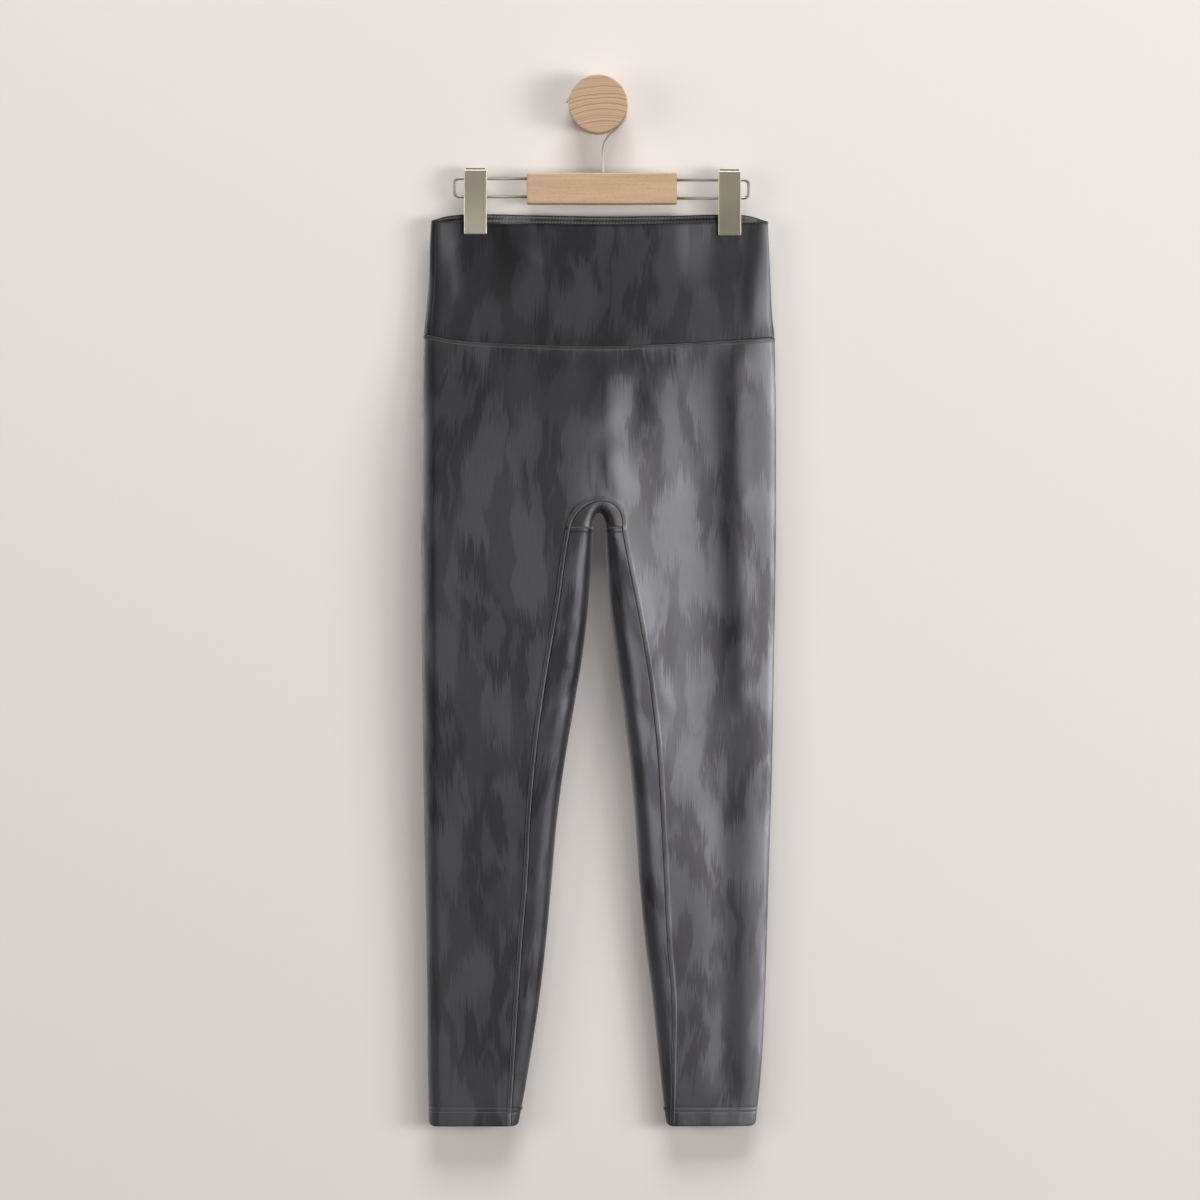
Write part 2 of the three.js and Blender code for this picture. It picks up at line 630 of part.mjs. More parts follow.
function toManifold(geometry) {
  const bare = geometry.clone();
  bare.deleteAttribute("normal");
  bare.deleteAttribute("uv");
  const merged = mergeVertices(bare, WELD);
  return new manifold.Manifold(new manifold.Mesh({
    numProp: 3,
    vertProperties: new Float32Array(merged.attributes.position.array),
    triVerts: new Uint32Array(merged.index.array),
  }));
}

function fromManifold(solid) {
  const mesh = solid.getMesh();
  const geometry = new THREE.BufferGeometry();
  geometry.setAttribute("position", new THREE.BufferAttribute(mesh.vertProperties, 3));
  geometry.setIndex(new THREE.BufferAttribute(mesh.triVerts, 1));
  geometry.computeVertexNormals();
  return geometry;
}

// A jaw is a shallow pressed tray, open towards the cloth
function jaw() {
  const outside = new THREE.BoxGeometry(CLIP.width, CLIP.depth, CLIP.height);
  const hollow = new THREE.BoxGeometry(
    CLIP.width - 2 * CLIP.sheet,
    CLIP.depth,
    CLIP.height - 2 * CLIP.sheet,
  );
  hollow.translate(0, CLIP.sheet, 0);
  return fromManifold(toManifold(outside).subtract(toManifold(hollow)));
}

// The barrel between two jaws stands a little above their top edges
const PIVOT_RADIUS = CLIP.opening - SEAM_GAP;

function pivot() {
  const length = CLIP.width - 2 * PIVOT.inset;
  const geometry = new THREE.CylinderGeometry(PIVOT_RADIUS, PIVOT_RADIUS, length, PIVOT.sides);
  geometry.rotateZ(QUARTER);
  return geometry;
}

const MATERIALS = {
  cloth: new THREE.MeshStandardMaterial({ color: 0x4a4a4e, roughness: 0.85, metalness: 0 }),
  band: new THREE.MeshStandardMaterial({ color: 0x454549, roughness: 0.85, metalness: 0 }),
  wood: new THREE.MeshStandardMaterial({ color: 0xd0ab84, roughness: 0.6, metalness: 0 }),
  metal: new THREE.MeshStandardMaterial({ color: 0xa9a18c, roughness: 0.35, metalness: 1 }),
  dark: new THREE.MeshStandardMaterial({ color: 0x4c463d, roughness: 0.45, metalness: 1 }),
};

const model = new THREE.Group();

function place(name, geometry, material, parent = model) {
  const mesh = new THREE.Mesh(geometry, material);
  mesh.name = name;
  parent.add(mesh);
  return mesh;
}

const band = bandPieces();
place("waistband_front", band.front, MATERIALS.band);
place("waistband_back", band.back, MATERIALS.band);
place("main_panel", mainPanel(), MATERIALS.cloth);
place("crotch_gusset", gusset(), MATERIALS.cloth);
place("inner_leg_left", innerLeg(-1), MATERIALS.cloth);
place("inner_leg_right", innerLeg(1), MATERIALS.cloth);

place("wall_peg", peg(), MATERIALS.wood).rotation.x = Math.PI;
place("hanger_bar", bar(), MATERIALS.wood).position.set(BAR.x, HANG_Y, BAR.z);
model.getObjectByName("hanger_bar").rotation.x = QUARTER;
place("hanger_hook", hook(), MATERIALS.metal);

for (const clip of CLIPS) {
  place(`rod_loop_${clip.side}`, rodLoop(clip), MATERIALS.metal);
  const group = new THREE.Group();
  group.position.set(clip.x, HANG_Y, clip.top - PIVOT.peek - CLIP.height / 2);
  model.add(group);
  const reach = CLIP.opening + CLIP.depth / 2;
  place(`clip_${clip.side}_front`, jaw(), MATERIALS.metal, group).position.y = -reach;
  const rear = place(`clip_${clip.side}_back`, jaw(), MATERIALS.metal, group);
  rear.position.y = reach;
  rear.rotation.z = Math.PI;
  const barrel = place(`clip_${clip.side}_pivot`, pivot(), MATERIALS.dark, group);
  barrel.position.z = CLIP.height / 2 + PIVOT.peek - PIVOT_RADIUS;
}

export default model;
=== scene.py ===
# Looks of high-waisted leggings hung by two clips from a bar hanger on a round wall peg.
# Shapes are worked out in millimetres, X to the viewer's right, Y into the wall, Z up,
# and are turned into metres when a mesh is made.
import math

import bpy
import numpy as np
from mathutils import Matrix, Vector


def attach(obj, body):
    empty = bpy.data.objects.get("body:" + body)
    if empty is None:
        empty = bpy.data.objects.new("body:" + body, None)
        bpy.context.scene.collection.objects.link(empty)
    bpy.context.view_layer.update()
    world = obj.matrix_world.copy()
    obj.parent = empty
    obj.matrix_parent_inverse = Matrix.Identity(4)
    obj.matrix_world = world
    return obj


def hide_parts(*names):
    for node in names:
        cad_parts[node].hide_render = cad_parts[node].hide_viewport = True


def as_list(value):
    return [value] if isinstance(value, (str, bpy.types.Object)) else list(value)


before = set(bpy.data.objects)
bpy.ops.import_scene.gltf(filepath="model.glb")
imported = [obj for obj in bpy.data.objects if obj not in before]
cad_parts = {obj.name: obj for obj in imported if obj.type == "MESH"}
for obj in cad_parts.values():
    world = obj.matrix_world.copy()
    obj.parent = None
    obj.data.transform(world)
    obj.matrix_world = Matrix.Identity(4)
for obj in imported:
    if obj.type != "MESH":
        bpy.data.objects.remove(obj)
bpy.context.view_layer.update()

MM = 0.001
QUARTER = math.pi / 2
TINY = 1e-9
FACES = ("front", "back")
SIDES = (-1, 1)

# The garment's form, the same sizes as in its solids
HANG_Y = -22
SEAM_GAP = 0.3
HEM_Z = -1122
HEM_DEPTH = 18
HEM_CORNER = 4
HEM_EXTRA = 0.9
CLIPPED_DEPTH = 1.25
PINCH_MARGIN = 1
PINCH_REACH_X = 50
PINCH_REACH_Z = 85
LEAST_DEPTH = 2.2
BODY_SHELL = 1.2
BAND_SHELL = 1.8

# The hanger and the peg
CLIP_WIDTH = 25.3
JAW_HEIGHT = 71
JAW_SHEET = 1.1
JAW_ROUND = 1.3
CLIP_OPENING = 2.55
CLIP_DEPTH = 3.4
PIVOT_PEEK = 2
PIVOT_INSET = 2
PIVOT_RADIUS = CLIP_OPENING - SEAM_GAP
BAR = {"x": 4.2, "z": -91.6, "width": 165, "height": 34.6, "thickness": 14, "round": 2}
WIRE_RADIUS = 1.5
ROD_RADIUS = 1.6
ROD_SPACING = 20
ROD_CORNER = 6
PEG = {"face": 32.2, "neck": 29.0, "foot": 30.5, "depth": 45, "rim": 7, "soft": 1.6}
PEG_NECK = (15, 28)
HOOK = {"x": -1.65, "z": -2.75, "radius": 34, "from": -12, "to": 84, "step": 16}
HOOK_END = [(106, 31.1), (122, 30.9), (138, 30.9), (153, 31.1), (164, 32.4), (173, 35.0)]
HOOK_STEM = [(5.5, -62), (5.5, -50), (7.6, -40.5), (13.0, -31.8), (20.6, -25.4), (27.9, -17.6)]
CLIPS = [
    {"side": "left", "x": -134.8, "top": -68.8, "rod_z": -80.4, "loop_x": -157.9},
    {"side": "right", "x": 144.8, "top": -70.2, "rod_z": -82.0, "loop_x": 165.6},
]


def table(names, rows):
    """Columns by name, with the rows sorted by the first column."""
    values = np.array(sorted(rows), float)
    return {name: values[:, index] for index, name in enumerate(names.split())}


# Outer folds, half depths of the hollow and widths of the rounded folds, by height
OUTLINE = table("z left right front back fold_left fold_right", [
    (-120, -182.6, 186.4, 5.5, 7.5, 12, 17),
    (-150, -184.5, 187.5, 6.0, 8.5, 13, 20),
    (-192, -185.6, 189.3, 6.5, 10.0, 14, 24),
    (-236, -188.9, 191.3, 7.5, 11.0, 15, 28),
    (-262, -191.2, 193.8, 8.0, 12.0, 15, 30),
    (-324, -192.9, 195.0, 8.0, 12.5, 15, 32),
    (-412, -194.0, 195.2, 8.0, 13.0, 16, 32),
    (-500, -194.1, 194.8, 8.0, 12.5, 16, 32),
    (-599, -192.8, 193.1, 8.0, 12.0, 16, 32),
    (-720, -191.4, 191.0, 7.5, 11.0, 15, 30),
    (-852, -189.2, 187.0, 7.5, 10.0, 14, 27),
    (-984, -187.0, 182.9, 7.0, 9.0, 13, 24),
    (-1050, -186.6, 179.6, 7.0, 8.5, 13, 22),
    (-1122, -185.2, 172.9, 7.0, 8.0, 12, 20),
])

# The lean: the left part stands off the wall and falls away to the right, mostly both layers together
LEAN = table("z height ridge foot", [
    (-120, 0.0, 10, 125),
    (-235, 0.0, 10, 125),
    (-262, 1.0, 12, 122),
    (-300, 8.0, 14, 118),
    (-360, 19.0, 8, 116),
    (-430, 26.0, 0, 118),
    (-600, 26.0, 5, 124),
    (-720, 22.0, 25, 128),
    (-850, 15.0, 36, 150),
    (-1000, 9.0, 55, 165),
    (-1122, 6.0, 60, 165),
])

LEAN_TOGETHER = 0.5
LEAN_ROUND = 0.24

# Inner edges of the legs, and how far in from them the front inseam lies, by height
LEGS = table("z left right seam_left seam_right", [
    (-464.7, -6.1, 9.0, 24.2, 16.9),
    (-500, -7.7, 9.9, 28.6, 22.6),
    (-544, -10.8, 12.8, 31.3, 28.5),
    (-599, -16.9, 19.8, 34.8, 31.4),
    (-654, -25.7, 27.3, 34.8, 32.1),
    (-720, -36.9, 35.5, 31.9, 30.5),
    (-786, -45.7, 41.6, 28.6, 28.0),
    (-852, -51.5, 46.2, 26.1, 26.6),
    (-918, -57.6, 52.5, 25.5, 23.4),
    (-984, -65.3, 60.9, 22.4, 20.0),
    (-1050, -75.4, 67.7, 16.3, 12.9),
    (-1122, -88.0, 75.6, 7.9, 3.6),
])

FOOT_Z = -464.7
CROTCH_ROUND = 15
GUSSET_ROUND = 8
GUSSET_BLEND = 60
EDGE_ARC = {"x": 1.45, "half_width": 7.55, "height": 16.7, "lean": -1.0}
SEAM_ARCS = {
    "front": {"x": -2.2, "half_width": 28.1, "height": 29.1, "lean": 6.0},
    "back": {"x": 5.15, "half_width": 28.05, "height": 29.1, "lean": -6.0},
}

# Heights of the waist edge and of the seam under the band, across the garment
WAIST = table("x front back seam", [
    (-185, -127.0, -127.0, -252.9),
    (-165, -127.8, -121.5, -257.0),
    (-134, -130.0, -119.6, -260.3),
    (-64, -130.8, -120.4, -263.7),
    (2, -132.0, -121.6, -265.2),
    (70, -130.4, -121.0, -262.8),
    (134, -127.9, -120.0, -259.2),
    (165, -129.2, -121.2, -257.2),
    (188, -128.0, -128.0, -255.4),
])
BAND_SEAM_IN = 6.4
WAIST_LEVEL = -128
LEVEL_SEAM_Z = -262
BAND_HEIGHT = WAIST_LEVEL - LEVEL_SEAM_Z
BAND_MIDDLE = (WAIST_LEVEL + LEVEL_SEAM_Z) / 2
LEVELLED_BY = 60

# Soft folds and creases: start x and z, end x and z, width, and height (a trough is negative)
FOLDS = {
    "front": [
        (11, -290, 12, -350, 13, 1.5),
        (13, -374, 20, -425, 12, 1.9),
        (42, -300, 38, -380, 10, -1.3),
        (64, -285, 78, -430, 14, 1.2),
        (150, -275, 158, -660, 14, 2.6),
        (28, -480, 76, -665, 11, 1.6),
        (134, -760, 138, -1080, 16, -1.4),
        (-116, -144, -62, -175, 8, 0.8),
        (-162, -150, -160, -210, 10, 1.4),
        (170, -150, 174, -240, 10, 1.6),
        (26, -330, 34, -400, 6, -0.9),
        (-30, -268, -36, -300, 6, 0.5),
        (46, -268, 52, -296, 7, 0.5),
        (88, -266, 84, -300, 8, 0.6),
        (-96, -266, -92, -292, 7, 0.4),
        (-140, -262, -134, -300, 8, 0.5),
        (-14, -552, -44, -590, 5, -0.8),
        (-18, -617, -50, -625, 5, -0.7),
        (-28, -640, -58, -672, 5, -0.8),
        (-36, -700, -62, -742, 6, -0.6),
        (-30, -655, -48, -690, 7, 0.6),
        (22, -560, 46, -600, 6, -0.6),
        (26, -640, 60, -690, 7, -0.7),
        (12, -470, 44, -520, 8, 0.7),
        (11, -440, 24, -470, 6, 0.9),
    ],
    "back": [
        (-2, -280, 0, -420, 10, -2.6),
        (-95, -300, -60, -430, 24, 2.4),
        (100, -300, 66, -430, 24, 2.4),
        (-118, -520, -130, -900, 18, -2.0),
        (112, -520, 128, -860, 18, -2.0),
    ],
}
FOLD_FADE = 35


def mix(start, end, share):
    return start + (end - start) * share


def side_name(side):
    return "left" if side < 0 else "right"


def smooth(value):
    t = np.clip(value, 0, 1)
    return t * t * (3 - 2 * t)


def read(rows, column, at):
    """Smooth curve through one column of a table, straight beyond its ends."""
    keys, values = next(iter(rows.values())), rows[column]
    place = np.arange(len(keys))
    before, after = np.maximum(place - 1, 0), np.minimum(place + 1, place[-1])
    slopes = (values[after] - values[before]) / (keys[after] - keys[before])
    at = np.asarray(at, float)
    row = np.clip(np.searchsorted(keys, at) - 1, 0, place[-1] - 1)
    span = keys[row + 1] - keys[row]
    share = (at - keys[row]) / span
    t = np.clip(share, 0, 1)
    curve = (
        (1 + 2 * t) * (1 - t) ** 2 * values[row]
        + t * (1 - t) ** 2 * span * slopes[row]
        + t * t * (3 - 2 * t) * values[row + 1]
        + t * t * (t - 1) * span * slopes[row + 1]
    )
    return curve + (share - t) * span * np.where(share < 0, slopes[row], slopes[row + 1])


def quarter_round(share):
    """Rises from 0 at a folded edge to 1 at the flat cloth, as a quarter ellipse does."""
    t = 1 - np.clip(share, 0, 1)
    return np.sqrt(np.maximum(0, 1 - t * t))


def beyond_arc(arc, dx, dz):
    """Distance out from an arc's half ellipse, along the ray from its centre."""
    reach = np.maximum(np.hypot(dx, dz), TINY)
    return reach - 1 / np.hypot(dx / reach / arc["half_width"], dz / reach / arc["height"])


def distance_to_inner_edge(x, z):
    above = np.maximum(0, beyond_arc(EDGE_ARC, x - EDGE_ARC["x"], z - FOOT_Z))
    below = np.maximum(0, np.maximum(read(LEGS, "left", z) - x, x - read(LEGS, "right", z)))
    return np.where(z >= FOOT_Z, above, below)


def pinch(x, z):
    """1 where a clip presses the two layers together, falling to 0 around it."""
    nearest = np.inf
    for clip in CLIPS:
        dx = np.maximum(np.abs(x - clip["x"]) - CLIP_WIDTH / 2 - PINCH_MARGIN, 0)
        dz = np.maximum(clip["top"] - PIVOT_PEEK - JAW_HEIGHT - PINCH_MARGIN - z, 0)
        nearest = np.minimum(nearest, np.hypot(dx / PINCH_REACH_X, dz / PINCH_REACH_Z))
    return 1 - smooth(nearest)


def fold_height(face, x, z):
    total = np.zeros(np.broadcast(x, z).shape)
    for x0, z0, x1, z1, width, height in FOLDS[face]:
        length = math.hypot(x1 - x0, z1 - z0)
        run_x = (x1 - x0) / length
        run_z = (z1 - z0) / length
        along = (x - x0) * run_x + (z - z0) * run_z
        off = (x - x0) * run_z - (z - z0) * run_x
        ends = smooth(along / FOLD_FADE + 0.5) * smooth((length - along) / FOLD_FADE + 0.5)
        total += height * ends * np.exp(-((off / width) ** 2))
    return total


def lean(x, z):
    ridge = read(LEAN, "ridge", z)
    foot = read(LEAN, "foot", z)
    return read(LEAN, "height", z) * (1 - ease((x - ridge) / (foot - ridge)))


def ease(share):
    """An even slope with softly rounded ends."""
    t = np.clip(share, -LEAN_ROUND, 1 + LEAN_ROUND)
    low = (t + LEAN_ROUND) ** 2 / (4 * LEAN_ROUND)
    high = 1 - (1 + LEAN_ROUND - t) ** 2 / (4 * LEAN_ROUND)
    return np.where(t < LEAN_ROUND, low, np.where(t > 1 - LEAN_ROUND, high, t))


def half_depth(face, x, z):
    from_left = np.maximum(0, x - read(OUTLINE, "left", z)) / read(OUTLINE, "fold_left", z)
    from_right = np.maximum(0, read(OUTLINE, "right", z) - x) / read(OUTLINE, "fold_right", z)
    outer = quarter_round(np.minimum(from_left, from_right))
    inner_fold = mix(CROTCH_ROUND, GUSSET_ROUND, smooth((z - FOOT_Z) / GUSSET_BLEND + 1))
    inner = quarter_round(distance_to_inner_edge(x, z) / inner_fold)
    edges = outer * inner
    depth = read(OUTLINE, face, z) + edges * fold_height(face, x, z)
    if face == "front":
        depth = depth + (1 - LEAN_TOGETHER) * lean(x, z)
    open_depth = edges * np.maximum(LEAST_DEPTH, depth)
    return mix(open_depth, CLIPPED_DEPTH * outer, pinch(x, z))


def cloth_point(on_front, x, z):
    """Points of the cloth's middle surface; on_front says which of the two faces each lies on."""
    x, z, on_front = np.broadcast_arrays(x, z, on_front)
    depth = np.where(on_front, -half_depth("front", x, z), half_depth("back", x, z))
    return np.stack([x, HANG_Y - LEAN_TOGETHER * lean(x, z) + depth, z], axis=-1)


def seam_x(face, side, z, shift):
    """The seam round the gusset and down the inner leg, moved towards the main panel by shift."""
    arc = SEAM_ARCS[face]
    sine = np.clip((z - FOOT_Z) / (arc["height"] + shift), 0, 1)
    wide = (arc["half_width"] + shift) * np.sqrt(1 - sine * sine)
    inset = read(LEGS, "seam_" + side_name(side if face == "front" else -side), z)
    down_leg = read(LEGS, side_name(side), z) + side * (inset + shift)
    return np.where(z >= FOOT_Z, arc["x"] + arc["lean"] * sine + side * wide, down_leg)


def row_height(level, x):
    follow = 1 - smooth((LEVEL_SEAM_Z - level) / LEVELLED_BY)
    return level + follow * (read(WAIST, "seam", x) - SEAM_GAP / 2 - LEVEL_SEAM_Z)


def hem_lift(side, x, level):
    name = side_name(side)
    to_fold = np.abs(x - read(OUTLINE, name, level))
    to_edge = np.abs(x - read(LEGS, name, level))
    low = smooth((HEM_Z + 2 * HEM_DEPTH - level) / (2 * HEM_DEPTH))
    return HEM_CORNER * low * (1 - quarter_round(np.minimum(to_fold, to_edge) / (2 * HEM_CORNER)))


# Grid of the fine cloth
TURN_SHARE = 0.25
TURN_COLUMNS = 11
FLAT_COLUMNS = 30
ROW_STEP = 4.3
EDGE_STEPS = [5.8, 5.0, 4.4, 3.0, 1.5, 0.8, 0.3, 0.0]
ARC_ROWS = 15
BAND_COLUMNS = 92
BAND_TURN_COLUMNS = 15
BAND_ROW_STEP = 3.6
BAND_LAST_ROW = 0.8
RIM_SHARES = np.array([*np.linspace(0, 0.94, 9), 0.965, 0.985, 1.0])
EDGE_FOLD = [0.3, 0.0]
NORMAL_STEP = 0.004
LEG_PRINT_X = 260
GUSSET_COLUMNS = 49
GUSSET_PRINT = {"x": 400, "turn": 22, "rise": 30}
SIDE_CLEAR = 0.07
BAND_PRINT_Z = 380
SIDE_FOLD = np.array([0.003, 0.009, 0.02, 0.04])
HEM_ROWS = [-1098.0, -1099.6, -1101.0, -1101.7, -1102.4, -1104.0, -1105.9, -1106.6, -1107.3,
            -1109.5, -1113.0, -1117.0, -1120.4, -1121.4, -1122.0]
HEM_STITCHES = [-1101.7, -1106.6]

ARC_TOP = FOOT_Z + SEAM_ARCS["front"]["height"] + SEAM_GAP / 2
CENTRE_BACK_X = SEAM_ARCS["back"]["x"] + SEAM_ARCS["back"]["lean"]


def spread(start, end, step):
    count = max(1, round(abs(end - start) / step))
    return np.linspace(start, end, count + 1)


def body_levels():
    """Rows from the band's seam down to the hem, closer together beside each seam."""
    below_seam = [LEVEL_SEAM_Z - step for step in reversed(EDGE_STEPS)]
    above_arc = [ARC_TOP + step for step in EDGE_STEPS[:-1]]
    hips = spread(below_seam[-1], above_arc[0], ROW_STEP)
    turns = np.linspace(QUARTER, 0, ARC_ROWS)
    arc = FOOT_Z + (ARC_TOP - FOOT_Z) * np.sin(turns)
    legs = spread(FOOT_Z, HEM_ROWS[0], ROW_STEP)
    rows = [*below_seam[:-1], *hips, *above_arc[1:], *arc, *legs[1:], *HEM_ROWS[1:]]
    return np.array(rows)


def main_panel_edge(face, side, level):
    seam = seam_x(face, side, np.minimum(level, ARC_TOP), SEAM_GAP / 2)
    if face == "front":
        return seam
    return side * np.maximum(side * seam, side * CENTRE_BACK_X + SEAM_GAP / 2)


def main_panel_surface(side):
    """Half of the main panel: across is -1 at the back seam, 0 at the outer fold, 1 at the front."""
    def surface(across, level):
        on_front = across >= 0
        fold = read(OUTLINE, side_name(side), level)
        edges = [main_panel_edge(face, side, level) for face in FACES]
        turn = read(OUTLINE, "fold_" + side_name(side), level)
        share = np.abs(across)
        rounded = turn * (1 - np.cos(share / TURN_SHARE * QUARTER))
        width = np.abs(np.where(on_front, *edges) - fold)
        flat = mix(turn, width, (share - TURN_SHARE) / (1 - TURN_SHARE))
        x = fold - side * np.where(share < TURN_SHARE, rounded, flat)
        return cloth_point(on_front, x, row_height(level, x) + hem_lift(side, x, level))

    return surface


def half_columns(side, face, level):
    """Shares across one face from its fold to its seam, the last ones set distances from the seam."""
    name = side_name(side)
    width = np.abs(main_panel_edge(face, side, level) - read(OUTLINE, name, level))[:, None]
    turn = read(OUTLINE, "fold_" + name, level)[:, None]
    turning = np.linspace(0, TURN_SHARE, TURN_COLUMNS)[:-1]
    near = TURN_SHARE + (1 - TURN_SHARE) * (width - EDGE_STEPS - turn) / (width - turn)
    flat = mix(TURN_SHARE, near[:, :1], np.linspace(0, 1, FLAT_COLUMNS)[None, :-1])
    return np.concatenate([np.broadcast_to(turning, (len(level), len(turning))), flat, near], axis=1)


def unit(vectors):
    return vectors / np.maximum(np.linalg.norm(vectors, axis=-1, keepdims=True), TINY)


def normals_of(surface, u, v):
    """Outward unit normals of a surface given by a function of two parameters."""
    along_u = surface(u + NORMAL_STEP, v) - surface(u - NORMAL_STEP, v)
    along_v = surface(u, v + NORMAL_STEP) - surface(u, v - NORMAL_STEP)
    return unit(np.cross(along_u, along_v))


def add_patch(patches, *grids, kept=None):
    """Adds grids of points, normals, outer and inner offsets and flat places.

    kept marks the points that another patch made, by their index there.
    """
    shape = grids[0].shape[:2]
    first = sum(len(patch[0]) for patch in patches)
    index = np.full(shape, -1) if kept is None else kept.copy()
    new = index < 0
    index[new] = first + np.arange(new.sum())
    corners = [index[:-1, :-1], index[1:, :-1], index[1:, 1:], index[:-1, 1:]]
    quads = np.stack([corner.ravel() for corner in corners], axis=-1)
    patches.append([*(grid[new] for grid in grids), quads])
    return index


def shell_object(name, patches):
    """A closed thin shell: the outer face, the inner face and the rim that joins them."""
    points, normals, outer, inner, flat, quads = (np.concatenate(part) for part in zip(*patches))
    count = len(points)
    edges = np.concatenate([quads[:, [k, (k + 1) % 4]] for k in range(4)])
    keys = edges[:, 0] * count + edges[:, 1]
    mirrored = edges[:, 1] * count + edges[:, 0]
    start, end = edges[~np.isin(keys, mirrored)].T
    faces = np.concatenate([
        quads,
        quads[:, ::-1] + count,
        np.stack([end, start, start + count, end + count], axis=-1),
    ])
    both = np.concatenate([points + normals * outer[:, None], points - normals * inner[:, None]])
    return mesh_object(name, both, faces.tolist(), np.concatenate([flat, flat]))


def one_patch(name, *grids):
    patches = []
    add_patch(patches, *grids)
    return shell_object(name, patches)


def add_object(name, mesh):
    made = bpy.data.objects.new(name, mesh)
    bpy.context.scene.collection.objects.link(made)
    return made


def mesh_object(name, points, faces, flat=None):
    mesh = bpy.data.meshes.new(name)
    mesh.from_pydata((np.asarray(points) * MM).tolist(), [], faces)
    mesh.shade_smooth()
    if flat is not None:
        attribute = mesh.attributes.new("flat", "FLOAT_VECTOR", "POINT")
        values = np.column_stack([flat * MM, np.zeros(len(flat))]).astype(np.float32)
        attribute.data.foreach_set("vector", values.ravel())
    return add_object(name, mesh)


def running_length(points, start_index):
    """Length along each row of a grid of points, measured from one column."""
    steps = np.linalg.norm(np.diff(points, axis=1), axis=-1)
    length = np.concatenate([np.zeros((len(points), 1)), np.cumsum(steps, axis=1)], axis=1)
    return length - length[:, start_index:start_index + 1]


# Relief of the sewing, by distance from a seam
GROOVE_DEPTH = 0.22
GROOVE_WIDTH = 0.6
SIDE_GROOVE = 0.8
FLATLOCK_HEIGHT = 0.4
FLATLOCK_RISE = 0.8
FLATLOCK_WIDTH = 4.7
PUCKER_HEIGHT = 0.16
PUCKER_REACH = 9
PUCKER_LENGTH = 17
STITCH_WIDTH = 0.8
HEM_SWELL = 0.25
HEM_WAVE = 31
EDGE_ROUND = 1.5
BAND_EDGE_ROUND = 1.4
RIM_MARGIN = 0.12


def bell(distance, width):
    return np.exp(-((distance / width) ** 2))


def groove(distance):
    return -GROOVE_DEPTH * bell(distance, GROOVE_WIDTH)


def raised(distance):
    """The low swell of a flat seam's threads beside its seam line."""
    return FLATLOCK_HEIGHT * smooth(distance / FLATLOCK_RISE) * (1 - smooth(distance - FLATLOCK_WIDTH + 0.5))


def flatlock(distance):
    return raised(distance) + groove(distance)


def seam_distance(on_front, x, z):
    """Distance in the garment's plane from the seam round the gusset and down both inner legs."""
    result = np.full(x.shape, np.inf)
    for face, here in (("front", on_front), ("back", ~on_front)):
        arc = SEAM_ARCS[face]
        sine = np.clip((z - FOOT_Z) / arc["height"], 0, 1)
        above = beyond_arc(arc, x - arc["x"] - arc["lean"] * sine, z - FOOT_Z)
        left = seam_x(face, -1, z, 0) - x
        right = x - seam_x(face, 1, z, 0)
        below = np.where(np.abs(left) < np.abs(right), left, right)
        result = np.where(here, np.where(z >= FOOT_Z, above, below), result)
    return result


def uneven(place, scale, seed):
    """Smooth uneven waves of about unit height along a place, the same at each run."""
    rng = np.random.default_rng(seed)
    total = np.zeros(np.shape(place))
    for octave in (1.0, 1.7, 2.9):
        phase, stretch = rng.uniform(0, 2 * math.pi), rng.uniform(0.85, 1.15)
        total = total + np.sin(2 * math.pi * place / scale * octave * stretch + phase) / octave
    return total / 1.9


def pucker(distance, along, seed):
    """Small gathers that run across a stitched seam and fade away from it."""
    return PUCKER_HEIGHT * bell(distance, PUCKER_REACH) * uneven(along, PUCKER_LENGTH, seed)


def hem_offsets(points, levels):
    """Outer and inner offsets of a body piece, with the turned hem's step and stitch lines."""
    level = np.broadcast_to(levels[:, None], points.shape[:2])
    stitches = sum(bell(level - stitch, STITCH_WIDTH) for stitch in HEM_STITCHES)
    hem = smooth((HEM_Z + HEM_DEPTH + 1 - level) / 2)
    swell = HEM_SWELL * hem * (0.6 + 0.4 * uneven(points[..., 0], HEM_WAVE, 5))
    rounded = quarter_round((level - HEM_Z + RIM_MARGIN) / EDGE_ROUND)
    outer = (BODY_SHELL / 2 - GROOVE_DEPTH * stitches + swell) * rounded
    return outer, (BODY_SHELL / 2 + HEM_EXTRA * hem) * rounded


def main_panel():
    levels = body_levels()
    patches = []
    kept = None
    for side in SIDES:
        surface = main_panel_surface(side)
        back = -half_columns(side, "back", levels)[:, :0:-1]
        across = np.concatenate([back, half_columns(side, "front", levels)], axis=1)
        level = np.broadcast_to(levels[:, None], across.shape)
        points = surface(across, level)
        # Columns run to the viewer's right on the front, so that the faces point outward
        normals = normals_of(surface, across, level) * -side
        fold_x = read(OUTLINE, side_name(side), -500)
        flat = np.stack([fold_x - side * running_length(points, back.shape[1]), level], axis=-1)
        outer, inner = hem_offsets(points, levels)
        x, z = points[..., 0], points[..., 2]
        distance = seam_distance(across >= 0, x, z)
        below_band = LEVEL_SEAM_Z - level
        from_centre = side * (x - CENTRE_BACK_X)
        centre_seam = flatlock(from_centre) if side < 0 else groove(from_centre)
        on_centre_back = (across < 0) * smooth((level - ARC_TOP) / 3)
        outer = outer + flatlock(distance) + flatlock(below_band) + centre_seam * on_centre_back
        outer = outer + pucker(distance, z, 11 + side) + pucker(below_band, x, 17)
        grids = points, normals, outer, inner, flat
        if side < 0:
            kept = add_patch(patches, *grids)
            continue
        shared = np.full(across.shape, -1)
        on_centre = levels >= ARC_TOP - TINY
        shared[on_centre, 0] = kept[on_centre, -1]
        add_patch(patches, *(grid[:, ::-1] for grid in grids), kept=shared)
    return shell_object("cloth_main_panel", patches)


